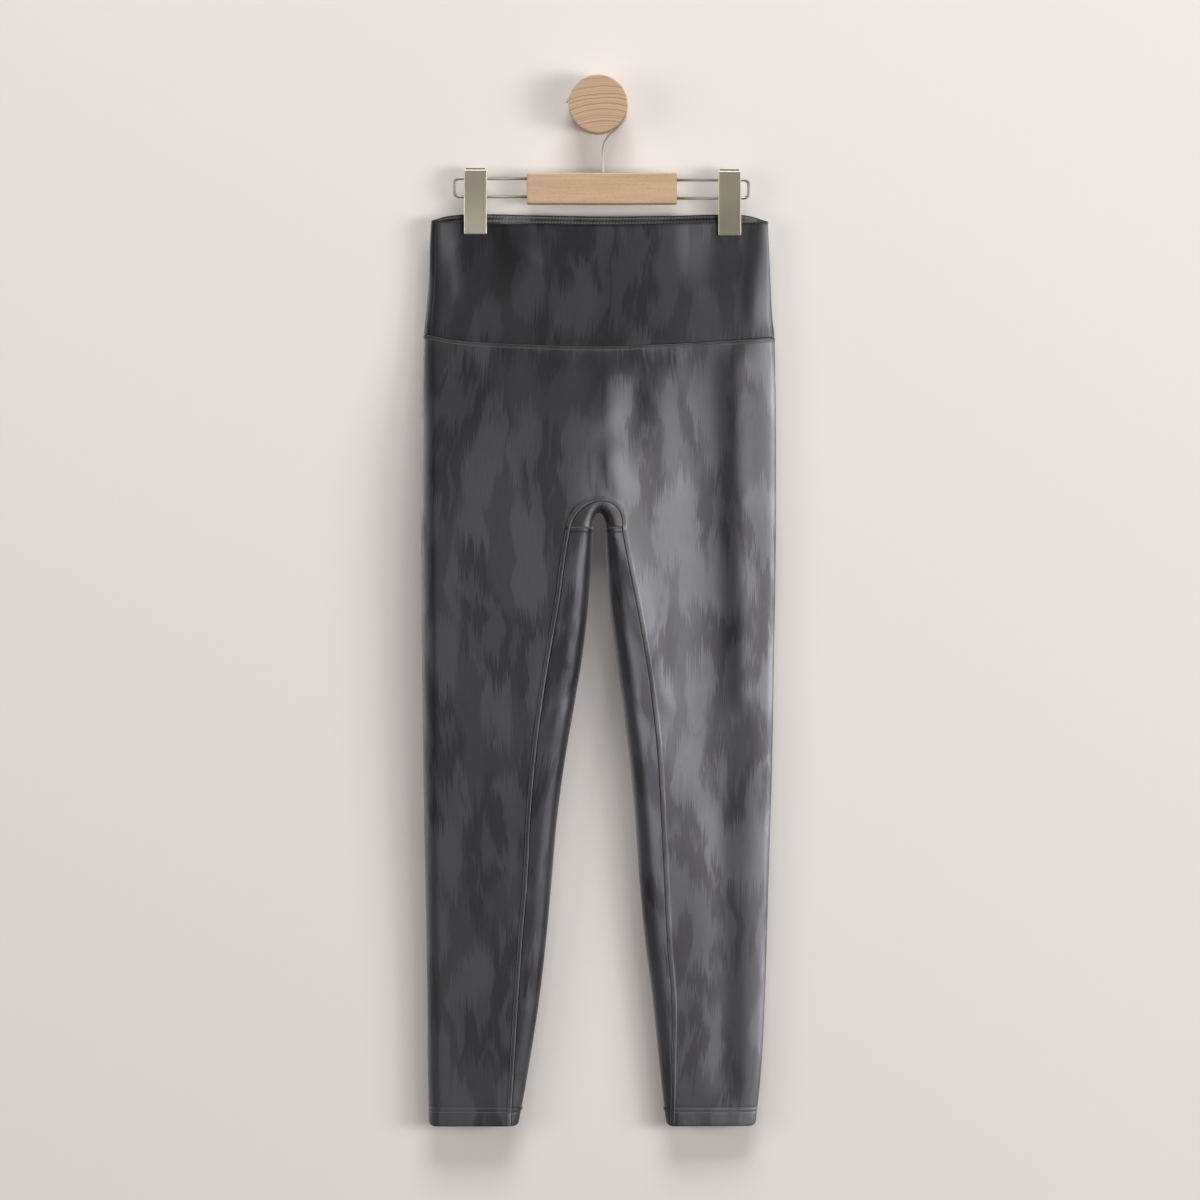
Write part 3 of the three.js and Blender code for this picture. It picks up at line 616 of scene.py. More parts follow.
def inner_leg_surface(side):
    """Across an inner edge: -1 at the front seam, 0 on the edge, 1 at the back seam."""
    def surface(across, level):
        on_front = across < 0
        seams = [seam_x(face, side, level, -SEAM_GAP / 2) for face in FACES]
        edge = read(LEGS, side_name(side), level)
        x = mix(edge, np.where(on_front, *seams), 1 - np.cos(np.abs(across) * QUARTER))
        return cloth_point(on_front, x, level + hem_lift(side, x, level))

    return surface


def inner_leg(side):
    levels = body_levels()
    foot_rows = FOOT_Z - SEAM_GAP / 2 - np.array(EDGE_STEPS[::-1])
    levels = np.concatenate([foot_rows, levels[levels < foot_rows[-1] - 1]])
    across, level = np.meshgrid(np.concatenate([-RIM_SHARES[:0:-1], RIM_SHARES]), levels)
    surface = inner_leg_surface(side)
    # Columns run to the viewer's right on the front, so that the faces point outward
    rightward = lambda share, height: surface(-side * share, height)
    points = rightward(across, level)
    normals = normals_of(rightward, across, level)
    outer, inner = hem_offsets(points, levels)
    x, z = points[..., 0], points[..., 2]
    distance = np.abs(seam_distance(-side * across < 0, x, z))
    outer = outer + groove(distance) + raised(foot_rows[0] - level) + pucker(distance, z, 31 + side)
    flat = np.stack([running_length(points, len(RIM_SHARES) - 1) + side * LEG_PRINT_X, level], axis=-1)
    return one_patch("cloth_inner_leg_" + side_name(side), points, normals, outer, inner, flat)


def gusset_surface(turn, rise):
    on_front = rise > 0
    sine = np.sin(turn)

    def on_arc(shape, shrink):
        x = shape["x"] + shape["lean"] * sine - (shape["half_width"] - shrink) * np.cos(turn)
        z = FOOT_Z + SEAM_GAP / 2 + (shape["height"] - shrink - SEAM_GAP / 2) * sine
        return x, z

    edge_x, edge_z = on_arc(EDGE_ARC, 0)
    front_x, front_z = on_arc(SEAM_ARCS["front"], SEAM_GAP / 2)
    back_x, back_z = on_arc(SEAM_ARCS["back"], SEAM_GAP / 2)
    share = 1 - np.cos(np.abs(rise) * QUARTER)
    x = mix(edge_x, np.where(on_front, front_x, back_x), share)
    z = mix(edge_z, np.where(on_front, front_z, back_z), share)
    return cloth_point(on_front, x, z)


def gusset():
    rises = np.concatenate([RIM_SHARES[::-1], -RIM_SHARES[1:]])
    turn, rise = np.meshgrid(np.linspace(0, math.pi, GUSSET_COLUMNS), rises)
    points = gusset_surface(turn, rise)
    normals = normals_of(gusset_surface, turn, rise)
    distance = np.abs(seam_distance(rise > 0, points[..., 0], points[..., 2]))
    inner = np.full(turn.shape, BODY_SHELL / 2)
    flat = np.stack([turn * GUSSET_PRINT["turn"] + GUSSET_PRINT["x"], rise * GUSSET_PRINT["rise"]], axis=-1)
    return one_patch("cloth_crotch_gusset", points, normals, inner + groove(distance), inner, flat)


def band_surface(lap, rise):
    """Once round the band, from the waist, where rise is 1, to the seam, where it is 0.

    lap is 0 to 1 on the front, to 2 round the right fold, to 3 on the back, to 4 round the left fold.
    """
    lap = np.mod(lap, 4)
    level = mix(LEVEL_SEAM_Z, WAIST_LEVEL, rise)
    left, right, turn_left, turn_right = (
        read(OUTLINE, name, level) for name in ("left", "right", "fold_left", "fold_right")
    )
    across = mix(left + turn_left, right - turn_right, np.where(lap < 1, lap, 3 - lap))
    right_angle = QUARTER - (lap - 1) * math.pi
    left_angle = (lap - 3) * math.pi - QUARTER
    round_right = right - turn_right * (1 - np.cos(right_angle))
    round_left = left + turn_left * (1 - np.cos(left_angle))
    flat_part = (lap < 1) | ((lap >= 2) & (lap < 3))
    x = np.where(flat_part, across, np.where(lap < 2, round_right, round_left))
    on_front = (lap < 1) | ((lap < 2) & (right_angle > 0)) | ((lap >= 3) & (left_angle > 0))
    edge = np.where(on_front, read(WAIST, "front", x), read(WAIST, "back", x))
    return cloth_point(on_front, x, mix(read(WAIST, "seam", x) + SEAM_GAP / 2, edge, rise))


def band_seam_laps():
    """The band's side seams: near the left fold in front and the right fold behind."""
    return [start + math.acos(1 - BAND_SEAM_IN / read(OUTLINE, name, BAND_MIDDLE)) / math.pi
            for start, name in ((-0.5, "fold_left"), (1.5, "fold_right"))]


def band_laps(start, end):
    flat = np.linspace(0, 1, BAND_COLUMNS)[:-1]
    turn = np.linspace(0, 1, BAND_TURN_COLUMNS)[:-1]
    lap = np.concatenate([flat, 1 + turn, 2 + flat, 3 + turn])
    laps = np.concatenate([lap - 4, lap, lap + 4])
    inside = laps[(laps > start + SIDE_CLEAR) & (laps < end - SIDE_CLEAR)]
    return np.concatenate([[start], start + SIDE_FOLD, inside, end - SIDE_FOLD[::-1], [end]])


def band_piece(name, start, end, seed):
    near_seam = EDGE_STEPS[-1:-6:-1]
    from_seam = np.array([*near_seam[:-1], *spread(near_seam[-1], BAND_HEIGHT - BAND_LAST_ROW, BAND_ROW_STEP),
                          *(BAND_HEIGHT - fold for fold in EDGE_FOLD)])
    lap, rise = np.meshgrid(band_laps(start, end), from_seam[::-1] / BAND_HEIGHT)
    points = band_surface(lap, rise)
    normals = normals_of(band_surface, lap, rise)
    from_bottom = rise * BAND_HEIGHT
    rounded = quarter_round((BAND_HEIGHT - from_bottom + RIM_MARGIN) / BAND_EDGE_ROUND)
    along = running_length(points, 0)
    to_side = np.minimum(along, along[:, -1:] - along)
    outer = (BAND_SHELL / 2 + groove(from_bottom) + SIDE_GROOVE * groove(to_side)) * rounded
    outer = outer + pucker(from_bottom, points[..., 0], seed)
    flat = np.stack([along + points[:1, :1, 0], BAND_PRINT_Z + points[..., 2]], axis=-1)
    return one_patch(name, points, normals, outer, BAND_SHELL / 2 * rounded, flat)


# Sewing: rows of small stitches beside the seams, with a cover thread crossing between them
NEEDLE_ROWS = (0.7, 4.3)
FOOT_ROW = 3.6
FOOT_BRIDGE = 1.1
FOOT_PITCH = 1.7
NEEDLE_PITCH = 2.3
NEEDLE_LENGTH = 1.75
NEEDLE_RADIUS = 0.3
STITCH_DRIFT = 0.12
COVER_RADIUS = 0.2
THREAD_SIDES = 6
COVER_SIDES = 4
PATH_STEP = 1.5
ARC_ENDS = 0.02
ARC_POINTS = 90
FOOT_REACH = 0.97
FOOT_POINTS = 60
FOOT_CLEAR_EDGE = 1.4
FOOT_CLEAR_SEAM = 0.8
HEM_POINTS = 300
TOP_SEAM_POINTS = 420
HATCH_POINTS = 2400
LAP_STEP = 0.01
TOUCH = 0.1
LADDER_PITCH = 2.0
LADDER_LENGTH = 1.3
LADDER_SINK = 0.15
HATCH_PITCH = 1.6
HATCH_LENGTH = 2.4
HATCH_RADIUS = 0.33
HATCH_DEPTHS = (2.4, 7.0)
HEM_INSIDE = BODY_SHELL / 2 + HEM_EXTRA + 0.05

# Each short thread swells from its sunken ends: share of its length, share of its radius, and height
THREAD_SHARES = np.array([0.0, 0.16, 0.84, 1.0])
THREAD_SWELL = np.array([0.4, 1.0, 1.0, 0.4])
THREAD_RISE = np.array([-0.9, 0.0, 0.0, -0.9])


def rings_round(first, second, sides):
    """Unit circles in the plane of two directions at each place."""
    angles = np.arange(sides) / sides * 2 * math.pi
    return first[:, None] * np.cos(angles)[:, None] + second[:, None] * np.sin(angles)[:, None]


def ringed_object(name, points, flipped=True):
    """Closed round pieces; the points are given by piece, ring and side."""
    index = np.arange(points[..., 0].size).reshape(points.shape[:-1])
    ahead = np.roll(index, -1, axis=2)
    corners = [index[:, :-1], index[:, 1:], ahead[:, 1:], ahead[:, :-1]]
    caps = [index[:, 0], index[:, -1, ::-1]]
    if flipped:
        corners = corners[::-1]
        caps = [cap[:, ::-1] for cap in caps]
    quads = np.stack(corners, axis=-1).reshape(-1, 4)
    return mesh_object(name, points.reshape(-1, 3), quads.tolist() + np.concatenate(caps).tolist())


def threads_object(name, threads, radius, sides):
    """Many short threads; each is a start, an end and the outward direction there."""
    starts, ends, normals = (np.concatenate(part) for part in zip(*threads))
    run = ends - starts
    forward = unit(run)
    across = unit(np.cross(forward, normals))
    up = np.cross(across, forward)
    rise = (radius * THREAD_RISE)[None, :, None]
    middle = starts[:, None] + run[:, None] * THREAD_SHARES[None, :, None] + up[:, None] * rise
    swell = (radius * THREAD_SWELL)[None, :, None, None]
    points = middle[:, :, None] + rings_round(across, up, sides)[:, None] * swell
    return ringed_object(name, points, flipped=False)


def lifted(surface, u, v, sign, height):
    """A path on a surface, moved out along the surface's normals."""
    u, v = np.broadcast_arrays(np.asarray(u, float), np.asarray(v, float))
    normals = normals_of(surface, u, v) * sign
    return surface(u, v) + normals * height, normals


def path_length(points):
    steps = np.linalg.norm(np.diff(points, axis=0), axis=1)
    return np.concatenate([[0], np.cumsum(steps)])


def at_shares(path, shares):
    """Points and normals of a path at shares of its length."""
    points, normals = path
    length = path_length(points)
    places = shares * length[-1]
    return tuple(
        np.stack([np.interp(places, length, column) for column in rows.T], axis=-1)
        for rows in (points, normals)
    )


def needle_row(path):
    """Straight stitches along a path, with a little unevenness."""
    total = path_length(path[0])[-1]
    places = np.arange(NEEDLE_PITCH, total - NEEDLE_PITCH / 2, NEEDLE_PITCH)
    places = places + STITCH_DRIFT * uneven(places, 13, 3)
    starts, normals = at_shares(path, (places - NEEDLE_LENGTH / 2) / total)
    ends = at_shares(path, (places + NEEDLE_LENGTH / 2) / total)[0]
    return starts, ends, normals


def cover_threads(near, far):
    """The thread that zigzags between two rows."""
    total = path_length(near[0])[-1]
    places = np.arange(NEEDLE_PITCH / 2, total - NEEDLE_PITCH, NEEDLE_PITCH) / total
    half = NEEDLE_PITCH / 2 / total
    out = at_shares(near, places), at_shares(far, places + half)
    home = at_shares(far, places + half), at_shares(near, places + 2 * half)
    return [(start[0], end[0], start[1]) for start, end in (out, home)]


def body_height(shift):
    return BODY_SHELL / 2 + flatlock(shift) + NEEDLE_RADIUS * 0.3


def on_face(face, x, z, height):
    """A path on the front or the back of the body, at a height over its middle surface."""
    on_front = face == "front"
    return lifted(lambda x, z: cloth_point(on_front, x, z), x, z, 1 if on_front else -1, height)


def inseam_path(face, side, shift):
    level = np.arange(FOOT_Z - PATH_STEP, HEM_Z + 1, -PATH_STEP)
    x = seam_x(face, side, level, shift)
    return on_face(face, x, level + hem_lift(side, x, level), body_height(shift))


def arc_path(face, shift):
    turn = np.linspace(ARC_ENDS, math.pi - ARC_ENDS, ARC_POINTS)
    arc = SEAM_ARCS[face]
    x = arc["x"] + arc["lean"] * np.sin(turn) - (arc["half_width"] + shift) * np.cos(turn)
    z = FOOT_Z + (arc["height"] + shift) * np.sin(turn)
    return on_face(face, x, z, body_height(shift))


def centre_back_path(shift):
    z = np.arange(row_height(LEVEL_SEAM_Z - 5, CENTRE_BACK_X), ARC_TOP + 3, -PATH_STEP)
    return on_face("back", CENTRE_BACK_X - shift, z, body_height(shift))


def panel_path(side, level, height, count):
    return lifted(main_panel_surface(side), np.linspace(-1, 1, count), level, -side, height)


def leg_path(side, level, height, reach, count):
    across = np.linspace(-reach, reach, count)
    return lifted(inner_leg_surface(side), across, level, side, height)


def foot_bridges(face, side):
    """Stitches across the level seam between the gusset and an inner leg piece."""
    edge = read(LEGS, side_name(side), FOOT_Z) + side * FOOT_CLEAR_EDGE
    seam = seam_x(face, side, FOOT_Z - TOUCH, 0) - side * FOOT_CLEAR_SEAM
    x = np.linspace(edge, seam, round(abs(seam - edge) / FOOT_PITCH) + 1)
    height = BODY_SHELL / 2 + NEEDLE_RADIUS * 0.5
    starts, normals = on_face(face, x, FOOT_Z + FOOT_BRIDGE, height)
    return starts, on_face(face, x, FOOT_Z - FOOT_BRIDGE, height)[0], normals


def hem_paths(side, level, height):
    """The hem's stitch line round one leg: on the main panel, then on the inner leg piece."""
    return panel_path(side, level, height, HEM_POINTS), leg_path(side, level, height, 1, HEM_POINTS)


def seam_rows():
    """Paths of the two needle rows of each flat seam of the body."""
    yield from ([arc_path(face, shift) for shift in NEEDLE_ROWS] for face in FACES)
    yield from ([inseam_path(face, side, shift) for shift in NEEDLE_ROWS] for face in FACES for side in SIDES)
    yield [centre_back_path(shift) for shift in NEEDLE_ROWS]
    for side in SIDES:
        yield [panel_path(side, LEVEL_SEAM_Z - shift, body_height(shift), TOP_SEAM_POINTS)
               for shift in NEEDLE_ROWS]


def band_stitches(laps, reach, rises, rise_reach, height):
    """Short threads on the band, each reaching both ways from its middle."""
    sign = 1 if height > 0 else -1
    starts, normals = lifted(band_surface, laps - reach, rises + rise_reach, 1, height)
    ends = lifted(band_surface, laps + reach, rises - rise_reach, 1, height)[0]
    return starts, ends, normals * sign


def ladder(lap):
    """Small threads across one of the band's side seams."""
    rise = np.arange(3, BAND_HEIGHT - 2, LADDER_PITCH) / BAND_HEIGHT
    step = band_surface(lap + LAP_STEP, rise) - band_surface(lap - LAP_STEP, rise)
    pace = np.linalg.norm(step, axis=-1) / (2 * LAP_STEP)
    return band_stitches(lap, LADDER_LENGTH / 2 / pace, rise, 0, BAND_SHELL / 2 - LADDER_SINK)


def waist_hatch(depth):
    """Upright stitches on the band's inner face, all round below the waist edge."""
    lap = np.linspace(0, 4, HATCH_POINTS)
    length = path_length(band_surface(lap, 1 - depth / BAND_HEIGHT))
    laps = np.interp(np.arange(0, length[-1] - HATCH_PITCH / 2, HATCH_PITCH), length, lap)
    inside = -BAND_SHELL / 2 - NEEDLE_RADIUS * 0.2
    return band_stitches(laps, 0, 1 - depth / BAND_HEIGHT, HATCH_LENGTH / 2 / BAND_HEIGHT, inside)


def under_hem_threads():
    for side in SIDES:
        for pair in zip(*(hem_paths(side, level, -HEM_INSIDE) for level in HEM_STITCHES)):
            yield from ((start, end, -normals) for start, end, normals in cover_threads(*pair))


# The hanger and the peg
WIRE_SIDES = 20
PEG_SEGMENTS = 96
CURVE_STEPS = 8
BEVEL_SEGMENTS = 4

# Shares of a barrel's half length, and of its radius there
BARREL = np.array([(-1, 0.75), (-0.985, 0.95), (-0.95, 1), (-0.5, 1), (0, 1),
                   (0.5, 1), (0.95, 1), (0.985, 0.95), (1, 0.75)])


def tube(name, path, radius, swell):
    """A round wire along a path in the hanging plane; swell is its radius share at each point."""
    forward = unit(np.gradient(path, axis=0))
    level = np.broadcast_to([0.0, 1.0, 0.0], path.shape)
    upright = unit(np.cross(forward, level))
    ring = rings_round(level, upright, WIRE_SIDES)
    return ringed_object(name, (path[:, None] + ring * (radius * swell)[:, None, None])[None])


def hang_points(pairs):
    pairs = np.asarray(pairs, float)
    return np.column_stack([pairs[:, 0], np.full(len(pairs), HANG_Y), pairs[:, 1]])


def curve_through(points):
    """A smooth curve through evenly spaced points."""
    keys = np.arange(len(points), dtype=float)
    rows = {"key": keys, **{axis: points[:, axis] for axis in range(3)}}
    at = np.linspace(0, keys[-1], CURVE_STEPS * (len(points) - 1) + 1)
    return np.stack([read(rows, axis, at) for axis in range(3)], axis=-1)


def round_tip(path, radius):
    """The path with a rounded end, and the radius shares along it."""
    turns = np.linspace(0, QUARTER, 6)[1:]
    direction = unit(path[-1] - path[-2])
    tip = path[-1] + np.sin(turns)[:, None] * radius * direction
    swell = np.concatenate([np.ones(len(path)), np.maximum(np.cos(turns), 0.08)])
    return np.concatenate([path, tip]), swell


def round_points(middle, radius, degrees):
    turns = np.radians(degrees)
    return np.column_stack([middle[0] + radius * np.cos(turns), middle[1] + radius * np.sin(turns)])


def hook_wire():
    degrees = np.arange(HOOK["from"], HOOK["to"] + 0.1, HOOK["step"])
    bend = round_points((HOOK["x"], HOOK["z"]), HOOK["radius"], degrees)
    turns, reach = np.array(HOOK_END).T
    foot = (HOOK_STEM[0][0], BAR["z"] + BAR["height"] / 2 + 0.05)
    pairs = [foot, *HOOK_STEM, *bend, *round_points((0, 0), reach, turns)]
    path, swell = round_tip(curve_through(hang_points(pairs)), WIRE_RADIUS)
    return tube("hook_wire", path, WIRE_RADIUS, swell)


def rod_wire(clip):
    side = math.copysign(1, clip["x"])
    end = BAR["x"] + side * (BAR["width"] / 2 + 0.05)
    loop = clip["loop_x"]
    turn = loop - side * ROD_CORNER
    high, low = clip["rod_z"], clip["rod_z"] - ROD_SPACING
    shares = np.linspace(0, 1, 2 * CURVE_STEPS)[:, None]

    def corner(*points):
        a, b, c = np.array(points, float)
        return (1 - shares) ** 2 * a + 2 * shares * (1 - shares) * b + shares ** 2 * c

    path = hang_points(np.concatenate([
        [(end, high)],
        corner((turn, high), (loop, high), (loop, high - ROD_CORNER)),
        corner((loop, low + ROD_CORNER), (loop, low), (turn, low)),
        [(end, low)],
    ]))
    return tube("rod_wire_" + clip["side"], path, ROD_RADIUS, np.ones(len(path)))


def soften(piece, width, thickness=None):
    """Rounded edges, and where a thickness is given a wall of it inside the surface."""
    bevel = piece.modifiers.new("rounded_edges", "BEVEL")
    bevel.width = width * MM
    bevel.segments = BEVEL_SEGMENTS
    bevel.limit_method = "ANGLE"
    if thickness is not None:
        wall = piece.modifiers.new("sheet", "SOLIDIFY")
        wall.thickness = thickness * MM
        wall.offset = -1
    piece.modifiers.new("even_normals", "WEIGHTED_NORMAL")
    return piece


def block(name, x, y, z, open_side=False, flipped=False):
    """A box between two values on each axis; its last face, towards y[1], can be left open."""
    points = [(x[i], y[j], z[k]) for j in (1, 0) for i, k in ((0, 0), (1, 0), (1, 1), (0, 1))]
    faces = [(4, 5, 6, 7), (0, 1, 5, 4), (1, 2, 6, 5), (2, 3, 7, 6), (3, 0, 4, 7), (3, 2, 1, 0)]
    if open_side:
        faces.pop()
    return mesh_object(name, points, [face[::-1] for face in faces] if flipped else faces)


def bar_block():
    half = BAR["width"] / 2, BAR["thickness"] / 2, BAR["height"] / 2
    middle = BAR["x"], HANG_Y, BAR["z"]
    spans = [(centre - reach, centre + reach) for centre, reach in zip(middle, half)]
    return soften(block("bar_block", *spans), BAR["round"])


def jaw(clip, face):
    """A pressed jaw plate: a shallow tray open towards the cloth, its edges rolled over."""
    half = CLIP_WIDTH / 2
    top = clip["top"] - PIVOT_PEEK
    near = HANG_Y + face * CLIP_OPENING
    name = "jaw_" + clip["side"] + ("_front" if face < 0 else "_back")
    made = block(name, (clip["x"] - half, clip["x"] + half), (near + face * CLIP_DEPTH, near),
                 (top - JAW_HEIGHT, top), open_side=True, flipped=face > 0)
    return soften(made, JAW_ROUND, JAW_SHEET)


def barrel(clip):
    """The rolled pin between two jaws, a little above their top edges."""
    reach = (CLIP_WIDTH / 2 - PIVOT_INSET) * BARREL[:, 0]
    path = hang_points([(clip["x"] + along, clip["top"] - PIVOT_RADIUS) for along in reach])
    return tube("barrel_" + clip["side"], path, PIVOT_RADIUS, BARREL[:, 1])


def peg_body():
    """The turned peg: a slim neck, a wider head with a soft rim and a flat face."""
    soft, face, neck, foot, depth = (PEG[key] for key in ("soft", "face", "neck", "foot", "depth"))
    low, high = PEG_NECK
    turns = np.linspace(0, QUARTER, 7)
    rim = zip(face - soft * (1 - np.cos(turns)), depth - soft * (1 - np.sin(turns)))
    radius, height = np.array([
        (6, 0), (foot - 0.3, 0), (foot, 0.3), (foot, 1.5),
        (neck + 0.1, low), (neck, low + 2), (neck, high - 2), (neck + 0.2, high),
        (face - 0.15, depth - PEG["rim"]), (face, depth - PEG["rim"] + 1), *rim,
        (face - soft - 0.5, depth), (6, depth),
    ]).T[:, :, None]
    angles = np.arange(PEG_SEGMENTS) / PEG_SEGMENTS * 2 * math.pi
    points = np.stack([radius * np.cos(angles), -height + 0 * angles, radius * np.sin(angles)], axis=-1)
    return ringed_object("peg_body", points[None])


# Materials
class Value:
    """The output of a material's node, for use in sums."""

    def __init__(self, graph, socket):
        self.graph = graph
        self.socket = socket

    def __add__(self, other):
        return self.graph.maths("ADD", self, other)

    def __sub__(self, other):
        return self.graph.maths("SUBTRACT", self, other)

    def __rsub__(self, other):
        return self.graph.maths("SUBTRACT", other, self)

    def __mul__(self, other):
        return self.graph.maths("MULTIPLY", self, other)

    def __truediv__(self, other):
        return self.graph.maths("DIVIDE", self, other)

    def __abs__(self):
        return self.graph.maths("ABSOLUTE", self)


class Graph:
    """A new material, with short calls for building its nodes; underscores stand for spaces."""

    def __init__(self, name, **uniform):
        self.material = bpy.data.materials.new(name)
        self.material.use_nodes = True
        self.nodes = self.material.node_tree.nodes
        self.nodes.clear()
        self.shader = self.node("BsdfPrincipled", **uniform)
        self.surface = Value(self, self.shader.outputs["BSDF"])
        self.output = self.node("OutputMaterial", Surface=self.surface)

    def put(self, socket, value):
        if isinstance(value, Value):
            self.material.node_tree.links.new(value.socket, socket)
        else:
            socket.default_value = value

    def fill(self, node, inputs):
        for key, value in inputs.items():
            self.put(node.inputs[key.replace("_", " ")], value)

    def node(self, kind, settings=None, **inputs):
        node = self.nodes.new("ShaderNode" + kind)
        for key, value in (settings or {}).items():
            setattr(node, key, value)
        self.fill(node, inputs)
        return node

    def value(self, kind, settings=None, output=0, **inputs):
        return Value(self, self.node(kind, settings, **inputs).outputs[output])

    def row(self, kind, settings, *entries):
        """A node with its first inputs given in order."""
        node = self.node(kind, settings)
        for socket, entry in zip(node.inputs, entries):
            self.put(socket, entry)
        return Value(self, node.outputs[0])

    def maths(self, operation, *entries):
        return self.row("Math", {"operation": operation}, *entries)

    def remap(self, value, low, high, to_low=0.0, to_high=1.0):
        return self.row("MapRange", {"interpolation_type": "SMOOTHSTEP"}, value, low, high, to_low, to_high)

    def combine(self, x, y, z=0.0):
        return self.row("CombineXYZ", None, x, y, z)

    def split(self, vector):
        return [Value(self, socket) for socket in self.node("SeparateXYZ", Vector=vector).outputs]

    def place(self):
        return self.value("TexCoord", output="Object")

    def blend(self, share, first, second, mode="MIX"):
        node = self.node("Mix", {"data_type": "RGBA", "blend_type": mode})
        for index, entry in zip((0, 6, 7), (share, first, second)):
            self.put(node.inputs[index], entry)
        return Value(self, node.outputs[2])

    def noise(self, vector, scale, detail=1.0, roughness=0.5, dimensions="3D"):
        return self.value("TexNoise", {"noise_dimensions": dimensions}, Vector=vector, Scale=scale,
                          Detail=detail, Roughness=roughness)

    def plane_noise(self, x, y, detail=1.0, roughness=0.5):
        return self.noise(self.combine(x, y), 1.0, detail, roughness, "2D")

    def finish(self, height, strength, depth, **inputs):
        """The material with a fine relief and with its changing inputs joined to the shader."""
        relief = self.value("Bump", Strength=strength, Distance=depth, Height=height)
        self.fill(self.shader, {"Normal": relief, **inputs})
        return self.material


def srgb(red, green, blue):
    """A colour of the photograph's scale of 255 as linear light."""
    values = [value / 255 for value in (red, green, blue)]
    return tuple(v / 12.92 if v <= 0.04045 else ((v + 0.055) / 1.055) ** 2.4 for v in values) + (1.0,)


def lit(colour, lightness):
    return tuple(value * lightness for value in colour[:3]) + (1.0,)


# The print: soft upright ovals between smudges, with their tips drawn out into fine upright streaks
OVAL_SIZE = (0.041, 0.098)
SMUDGE_SIZE = (0.025, 0.054)
PATCH_SIZE = (0.07, 0.14)
STREAK_WIDTH = 0.0011
STREAK_REACH = 0.0384
SWAY_REACH = 0.016
GROUND = srgb(64, 64, 67)
OVAL = srgb(75, 75, 79)
SMUDGE = srgb(52, 51, 55)
RIBS = 560.0


def cloth_material(name, lightness, shift):
    graph = Graph(name, Metallic=0.75, Roughness=0.42, Specular_IOR_Level=0.5, Sheen_Weight=0.12,
                  Sheen_Roughness=0.4, Sheen_Tint=(0.9, 0.88, 0.95, 1.0))
    flat = graph.split(graph.value("Attribute", {"attribute_name": "flat"}, "Vector"))
    across, along = flat[0] + shift[0], flat[1] + shift[1]

    # Each fine upright thread carries the colour a little higher or lower than its neighbour
    thread = across / STREAK_WIDTH
    fine = graph.plane_noise(thread, along * 9.0)
    bunch = graph.plane_noise(thread * 0.24, along * 7.0)
    moved = along + ((fine - 0.5) * 1.3 + (bunch - 0.5) * 0.8) * STREAK_REACH
    sway = graph.noise(graph.combine(across, along), 22.0, dimensions="2D")
    moved_across = across + (sway - 0.5) * SWAY_REACH

    def cells(size, offset):
        place = graph.combine((moved_across + offset) / size[0], moved / size[1])
        return graph.value("TexVoronoi", {"voronoi_dimensions": "2D", "feature": "F1"}, "Distance",
                           Vector=place, Scale=1.0, Randomness=0.9)

    ovals = cells(OVAL_SIZE, 0.0)
    patches = graph.plane_noise(moved_across / PATCH_SIZE[0], moved / PATCH_SIZE[1])
    rings = graph.remap(abs(ovals - 0.57), 0.12, 0.06)
    smudges = graph.remap(cells(SMUDGE_SIZE, 0.2), 0.40, 0.30)
    dark = graph.maths("MAXIMUM", rings, smudges) * graph.remap(patches, 0.43, 0.56)
    light = graph.remap(ovals, 0.50, 0.40) * graph.remap(patches, 0.66, 0.46, 0.25, 1.0)
    colour = graph.blend(light, lit(GROUND, lightness), lit(OVAL, lightness))
    colour = graph.blend(dark * 0.85, colour, lit(SMUDGE, lightness))
    yarn = graph.plane_noise(thread * 0.9, along * 60.0, 2.0, 0.6)
    grey = graph.value("CombineColor", Red=yarn, Green=yarn, Blue=yarn)
    ribs = graph.value("TexWave", {"wave_type": "BANDS", "bands_direction": "X"}, 1, Distortion=0.4,
                       Vector=graph.combine(across, along * 0.05), Scale=RIBS)
    return graph.finish(ribs + yarn, 0.25, 0.0002, Base_Color=graph.blend(0.10, colour, grey, "OVERLAY"))


def thread_material(name, colour, metallic):
    """Twisted thread: a fibre with some of the cloth's sheen and a fine colour change along it."""
    graph = Graph(name, Metallic=metallic, Roughness=0.5, Sheen_Weight=0.15)
    fibre = graph.noise(graph.place(), 2600.0)
    graph.fill(graph.shader, {"Base Color": graph.blend(fibre, lit(colour, 0.72), colour)})
    return graph.material


def bar_material():
    """Beech along the grain: slow tone changes, fine lines and short darker flecks."""
    graph = Graph("bar_wood")
    x, y, z = graph.split(graph.place())
    cross = y * 0.8 + z
    tone = graph.remap(graph.plane_noise(x * 9.0, cross * 70.0, 2.0, 0.55), 0.32, 0.68)
    lines = graph.remap(graph.plane_noise(x * 16.0, cross * 620.0, 2.0, 0.55), 0.46, 0.68)
    flecks = graph.remap(graph.plane_noise(x * 230.0, cross * 1500.0, 1.0, 0.55), 0.60, 0.70)
    colour = graph.blend(tone, srgb(210, 177, 144), srgb(219, 188, 157))
    colour = graph.blend(lines * 0.35, colour, srgb(197, 161, 127))
    colour = graph.blend(flecks * 0.38, colour, srgb(175, 135, 102))
    return graph.finish(1.0 - flecks, 0.12, 0.0002, Base_Color=colour,
                        Roughness=graph.remap(lines, 0.0, 1.0, 0.46, 0.58))


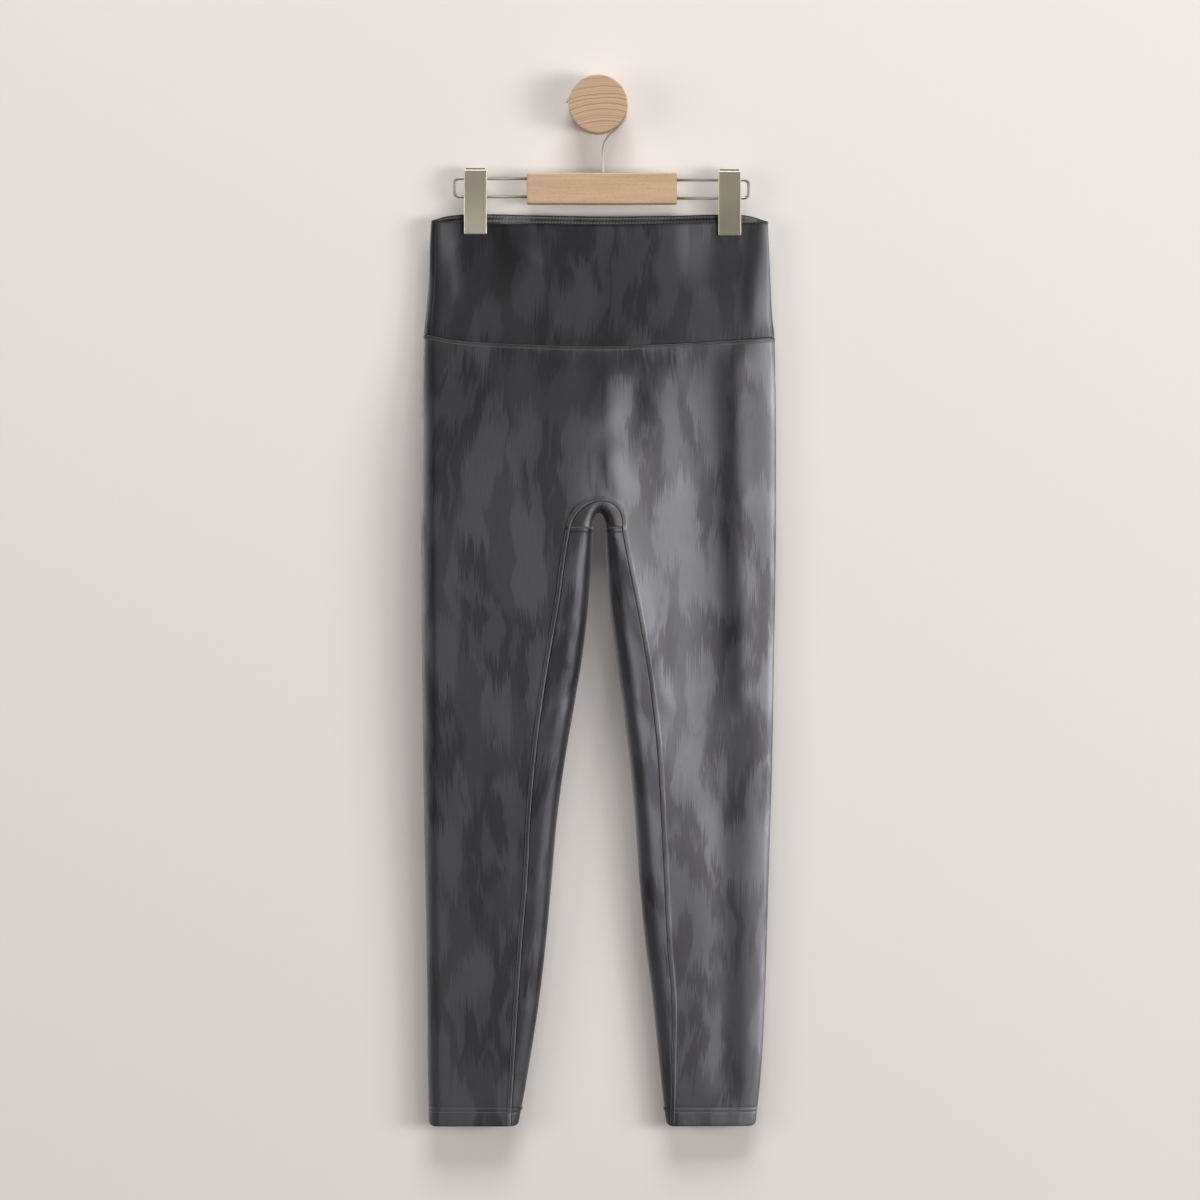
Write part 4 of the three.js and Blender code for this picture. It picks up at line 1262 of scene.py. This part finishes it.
def peg_material():
    """Beech across the grain: uneven growth rings bulging upward, crossed by fine rays."""
    graph = Graph("peg_wood", Roughness=0.55)
    x, y, z = graph.split(graph.place())
    dx, dz = x - 0.008, z + 0.11
    reach = graph.maths("SQRT", dx * dx + dz * dz)
    wobble = graph.plane_noise(x * 40.0, z * 40.0)
    rings = graph.plane_noise((wobble * 0.0025 + reach) * 470.0, 0.0)
    rays = graph.plane_noise(dx / dz * 190.0, reach * 150.0)
    pores = graph.noise(graph.combine(x * 1300.0, z * 1300.0, y * 60.0), 1.0)
    colour = graph.blend(graph.remap(rings, 0.42, 0.66), srgb(214, 183, 153), srgb(184, 146, 115))
    colour = graph.blend(graph.remap(rays, 0.60, 0.72) * 0.3, colour, srgb(221, 193, 164))
    colour = graph.blend(graph.remap(pores, 0.58, 0.70) * 0.3, colour, srgb(176, 132, 98))
    return graph.finish(1.0 - rings, 0.15, 0.0002, Base_Color=colour)


def brushed_material(name, light, dark, metallic, roughness, brushing, change=None):
    """Plated metal with fine brushing; brushing gives the scratches' scale on each axis, and the last
    argument, where given, paints light and shade onto the colour.
    """
    graph = Graph(name, Metallic=metallic)
    place = graph.split(graph.place())
    scratch_at = graph.combine(*(value * scale for value, scale in zip(place, brushing)))
    scratches = graph.noise(scratch_at, 1.0, 3.0, 0.6)
    tone = (scratches - 0.5) * 0.5 + graph.noise(graph.combine(*place), 22.0)
    colour = graph.blend(graph.remap(tone, 0.25, 0.75), dark, light)
    if change:
        colour = change(graph, place, colour)
    return graph.finish(scratches, 0.02, 0.0001, Base_Color=colour,
                        Roughness=graph.remap(scratches, 0.3, 0.7, roughness - 0.03, roughness + 0.04))


def jaw_painted_light(graph, place, colour):
    """Painted reflection: the left jaw grows paler downward and the right one darker downward; a painted
    highlight makes the rolled edges pale.
    """
    down = graph.remap(place[2], -0.080, -0.136)
    on_left = graph.remap(place[0], 0.02, -0.02)
    colour = graph.blend(down * on_left * 0.62, colour, srgb(246, 239, 220))
    colour = graph.blend(down * (1.0 - on_left) * 0.5, colour, srgb(160, 152, 134))
    # Painted highlight on the rolled edges, where the normal turns away from the face
    normal = graph.split(graph.value("NewGeometry", output="Normal"))
    turned = graph.remap(abs(normal[1]), 0.97, 0.75)
    return graph.blend(turned * 0.85, colour, srgb(255, 250, 232))


def dress(piece, material, node=None):
    """Gives a piece its material, slot and body, and the node that it replaces."""
    piece.data.materials.clear()
    piece.data.materials.append(material)
    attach(piece, "root")
    if node:
        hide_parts(node)
    return piece


cloth = cloth_material("legging_cloth", 2.0, (0.0, 0.0))
# Painted shade: the band's cloth is the same print as the body's, made darker
band_cloth = cloth_material("band_cloth", 1.3, (0.31, 0.17))
left_lap, right_lap = band_seam_laps()
left_gap, right_gap = (SEAM_GAP / 4 / float(read(OUTLINE, "fold_" + side_name(side), BAND_MIDDLE))
                       for side in SIDES)
panel = dress(main_panel(), cloth, "main_panel")
inner_left, inner_right = (dress(inner_leg(side), cloth, "inner_leg_" + side_name(side))
                           for side in SIDES)
crotch = dress(gusset(), cloth, "crotch_gusset")
band_front = dress(band_piece("cloth_waistband_front", left_lap + left_gap, right_lap - right_gap, 41),
                   band_cloth, "waistband_front")
band_back = dress(band_piece("cloth_waistband_back", right_lap + right_gap, left_lap + 4 - left_gap, 43),
                  band_cloth, "waistband_back")

needle_thread = thread_material("needle_thread", srgb(152, 152, 152), 0.35)
cover_thread = thread_material("cover_thread", srgb(104, 103, 99), 0.6)
foot_thread = thread_material("foot_thread", srgb(190, 182, 168), 0.2)
waist_thread = thread_material("waist_thread", srgb(175, 173, 168), 0.2)
NEEDLE = (NEEDLE_RADIUS, THREAD_SIDES)
COVER = (COVER_RADIUS, COVER_SIDES)


def sewing():
    """Every stitched piece: its name, its threads, their radius and sides, and its material."""
    rows = list(seam_rows())
    foot_level = FOOT_Z - SEAM_GAP / 2 - FOOT_ROW
    foot = [needle_row(leg_path(side, foot_level, body_height(FOOT_ROW), FOOT_REACH, FOOT_POINTS))
            for side in SIDES]
    foot += [foot_bridges(face, side) for face in FACES for side in SIDES]
    hem = [needle_row(path) for side in SIDES for level in HEM_STITCHES
           for path in hem_paths(side, level, BODY_SHELL / 2 + 0.05)]
    return [
        ("seam_needle_threads", [needle_row(path) for pair in rows for path in pair], NEEDLE, needle_thread),
        ("seam_cover_threads", [part for pair in rows for part in cover_threads(*pair)], COVER, cover_thread),
        ("foot_seam_threads", foot, NEEDLE, foot_thread),
        ("hem_threads", hem, NEEDLE, needle_thread),
        ("hem_under_threads", list(under_hem_threads()), COVER, cover_thread),
        ("waist_threads", [waist_hatch(depth) for depth in HATCH_DEPTHS],
         (HATCH_RADIUS, THREAD_SIDES), waist_thread),
        ("band_side_threads", [ladder(lap) for lap in band_seam_laps()],
         (COVER_RADIUS, THREAD_SIDES), needle_thread),
    ]


sewn = []
for name, threads, form, material in sewing():
    slot = "band_cloth" if name in ("waist_threads", "band_side_threads") else "legging_cloth"
    sewn.append(dress(threads_object(name, threads, *form), material))

# The jaws' colour carries painted reflection and painted highlights
clip_metal = brushed_material("clip_metal", srgb(204, 196, 176), srgb(194, 186, 166), 0.55, 0.32,
                              (1500, 300, 60), jaw_painted_light)
rod_metal = brushed_material("rod_metal", srgb(190, 184, 168), srgb(160, 154, 140), 0.55, 0.3,
                             (60, 900, 900))
hook_metal = brushed_material("hook_metal", srgb(240, 235, 222), srgb(220, 214, 200), 0.25, 0.3,
                              (300, 300, 300))
# Painted shade: the pivot barrels are coloured far darker than the jaws, for the dark line of shade along the
# jaws' tops
pivot_metal = brushed_material("pivot_metal", srgb(96, 90, 80), srgb(62, 58, 50), 0.6, 0.4,
                               (60, 900, 900))
dress(peg_body(), peg_material(), "wall_peg")
dress(bar_block(), bar_material(), "hanger_bar")
dress(hook_wire(), hook_metal, "hanger_hook")
for clip in CLIPS:
    side = clip["side"]
    dress(rod_wire(clip), rod_metal, "rod_loop_" + side)
    dress(barrel(clip), pivot_metal, "clip_" + side + "_pivot")
    for face, face_name in zip((-1, 1), FACES):
        node = "clip_" + side + "_" + face_name
        dress(jaw(clip, face), clip_metal, node)

# Stage: a pale wall that can be seen only from its front, and a pale floor
HALF_WALL = 0.95
WALL_TOP = 0.35
WALL_Y = 0.0005
FLOOR_Z = -1.4
FLOOR_REACH = 6


def wall_material():
    graph = Graph("wall_paint", Base_Color=(0.80, 0.768, 0.752, 1.0), Roughness=0.9)
    behind = graph.value("NewGeometry", output="Backfacing")
    clear = graph.value("BsdfTransparent")
    graph.fill(graph.output, {"Surface": graph.row("MixShader", None, behind, graph.surface, clear)})
    return graph.material


def plane(name, corners, material):
    mesh = bpy.data.meshes.new(name)
    mesh.from_pydata(corners, [], [(0, 1, 2, 3)])
    mesh.materials.append(material)
    made = add_object(name, mesh)
    return made


ends = ((-1, 0), (1, 0), (1, 1), (-1, 1))
wall = plane("backdrop_wall", [(HALF_WALL * x, WALL_Y, WALL_TOP if up else FLOOR_Z) for x, up in ends],
             wall_material())
wall.visible_shadow = False
plane("floor", [(FLOOR_REACH * x, FLOOR_REACH * (2 * far - 1), FLOOR_Z) for x, far in ends],
      Graph("floor_paint", Base_Color=(0.20, 0.19, 0.18, 1.0), Roughness=0.9).material)

LIT_CENTRE = Vector((0.0, -0.02, -0.55))


def area_light(name, azimuth, elevation, distance, size, power, group):
    """A large soft light; azimuth 0 is the camera's side, 90 the viewer's right and 180 behind."""
    data = bpy.data.lights.new(name, "AREA")
    data.shape = "RECTANGLE"
    data.size, data.size_y = size
    data.energy = power
    data.color = (1.0, 0.985, 0.965)
    turned, raised_by = math.radians(azimuth), math.radians(elevation)
    away = Vector((math.sin(turned), -math.cos(turned), math.tan(raised_by))).normalized()
    light = add_object(name, data)
    light.visible_camera = False
    light.location = LIT_CENTRE + away * distance
    light.rotation_euler = (-away).to_track_quat("-Z", "Y").to_euler()
    light.light_linking.receiver_collection = group


def light_group(name, items):
    group = bpy.data.collections.new(name)
    for item in items:
        group.objects.link(item)
    return group


# The dark satin cloth has a more grazing light than the pale wall and the hanger
cloth_pieces = [panel, inner_left, inner_right, crotch, band_front, band_back, *sewn]
others = [item for item in bpy.context.scene.objects if item.type == "MESH" and item not in cloth_pieces]
cloth_group = light_group("lit_cloth", cloth_pieces)
outer_group = light_group("lit_outer_cloth", [
    item for item in cloth_pieces if item not in (inner_left, inner_right)
])
around_group = light_group("lit_around", others)
wall_group = light_group("lit_wall", [wall])
LIGHTS = [
    ("key", 52, -4, 6.0, (2.6, 2.6), 185, around_group),
    ("top", 6, 58, 6.0, (3.6, 2.8), 262, around_group),
    ("wall_low", 38, -12, 5.0, (3.0, 3.0), 130, wall_group),
    ("left_fill", -52, 2, 5.0, (2.2, 2.6), 62, around_group),
    ("cloth_key", 41, 4, 5.0, (1.2, 2.8), 140, cloth_group),
    ("cloth_side", 76, -2, 5.0, (1.6, 3.0), 240, outer_group),
    ("cloth_fill", -74, 10, 5.0, (2.2, 2.6), 24, cloth_group),
    ("rear_left", 160, 25, 4.0, (2.0, 2.0), 150, cloth_group),
    ("rear_right", -130, 15, 4.0, (2.0, 2.0), 80, cloth_group),
]
for row in LIGHTS:
    area_light(*row)

world = bpy.data.worlds.new("studio")
world.use_nodes = True
background = world.node_tree.nodes["Background"]
background.inputs["Color"].default_value = (1.0, 0.985, 0.97, 1.0)
background.inputs["Strength"].default_value = 0.055
bpy.context.scene.world = world

# The camera stands level, straight in front of the middle of the photograph's frame
camera_data = bpy.data.cameras.new("camera")
camera_data.lens = 170
camera_data.sensor_width = 36
camera = add_object("camera", camera_data)
camera.location = (0.0022, -6.256, -0.544)
camera.rotation_euler = (QUARTER, 0, 0)
bpy.context.scene.camera = camera
bpy.context.scene.view_settings.view_transform = "Standard"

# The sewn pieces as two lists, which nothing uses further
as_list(sewn[:5])
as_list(sewn[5:])
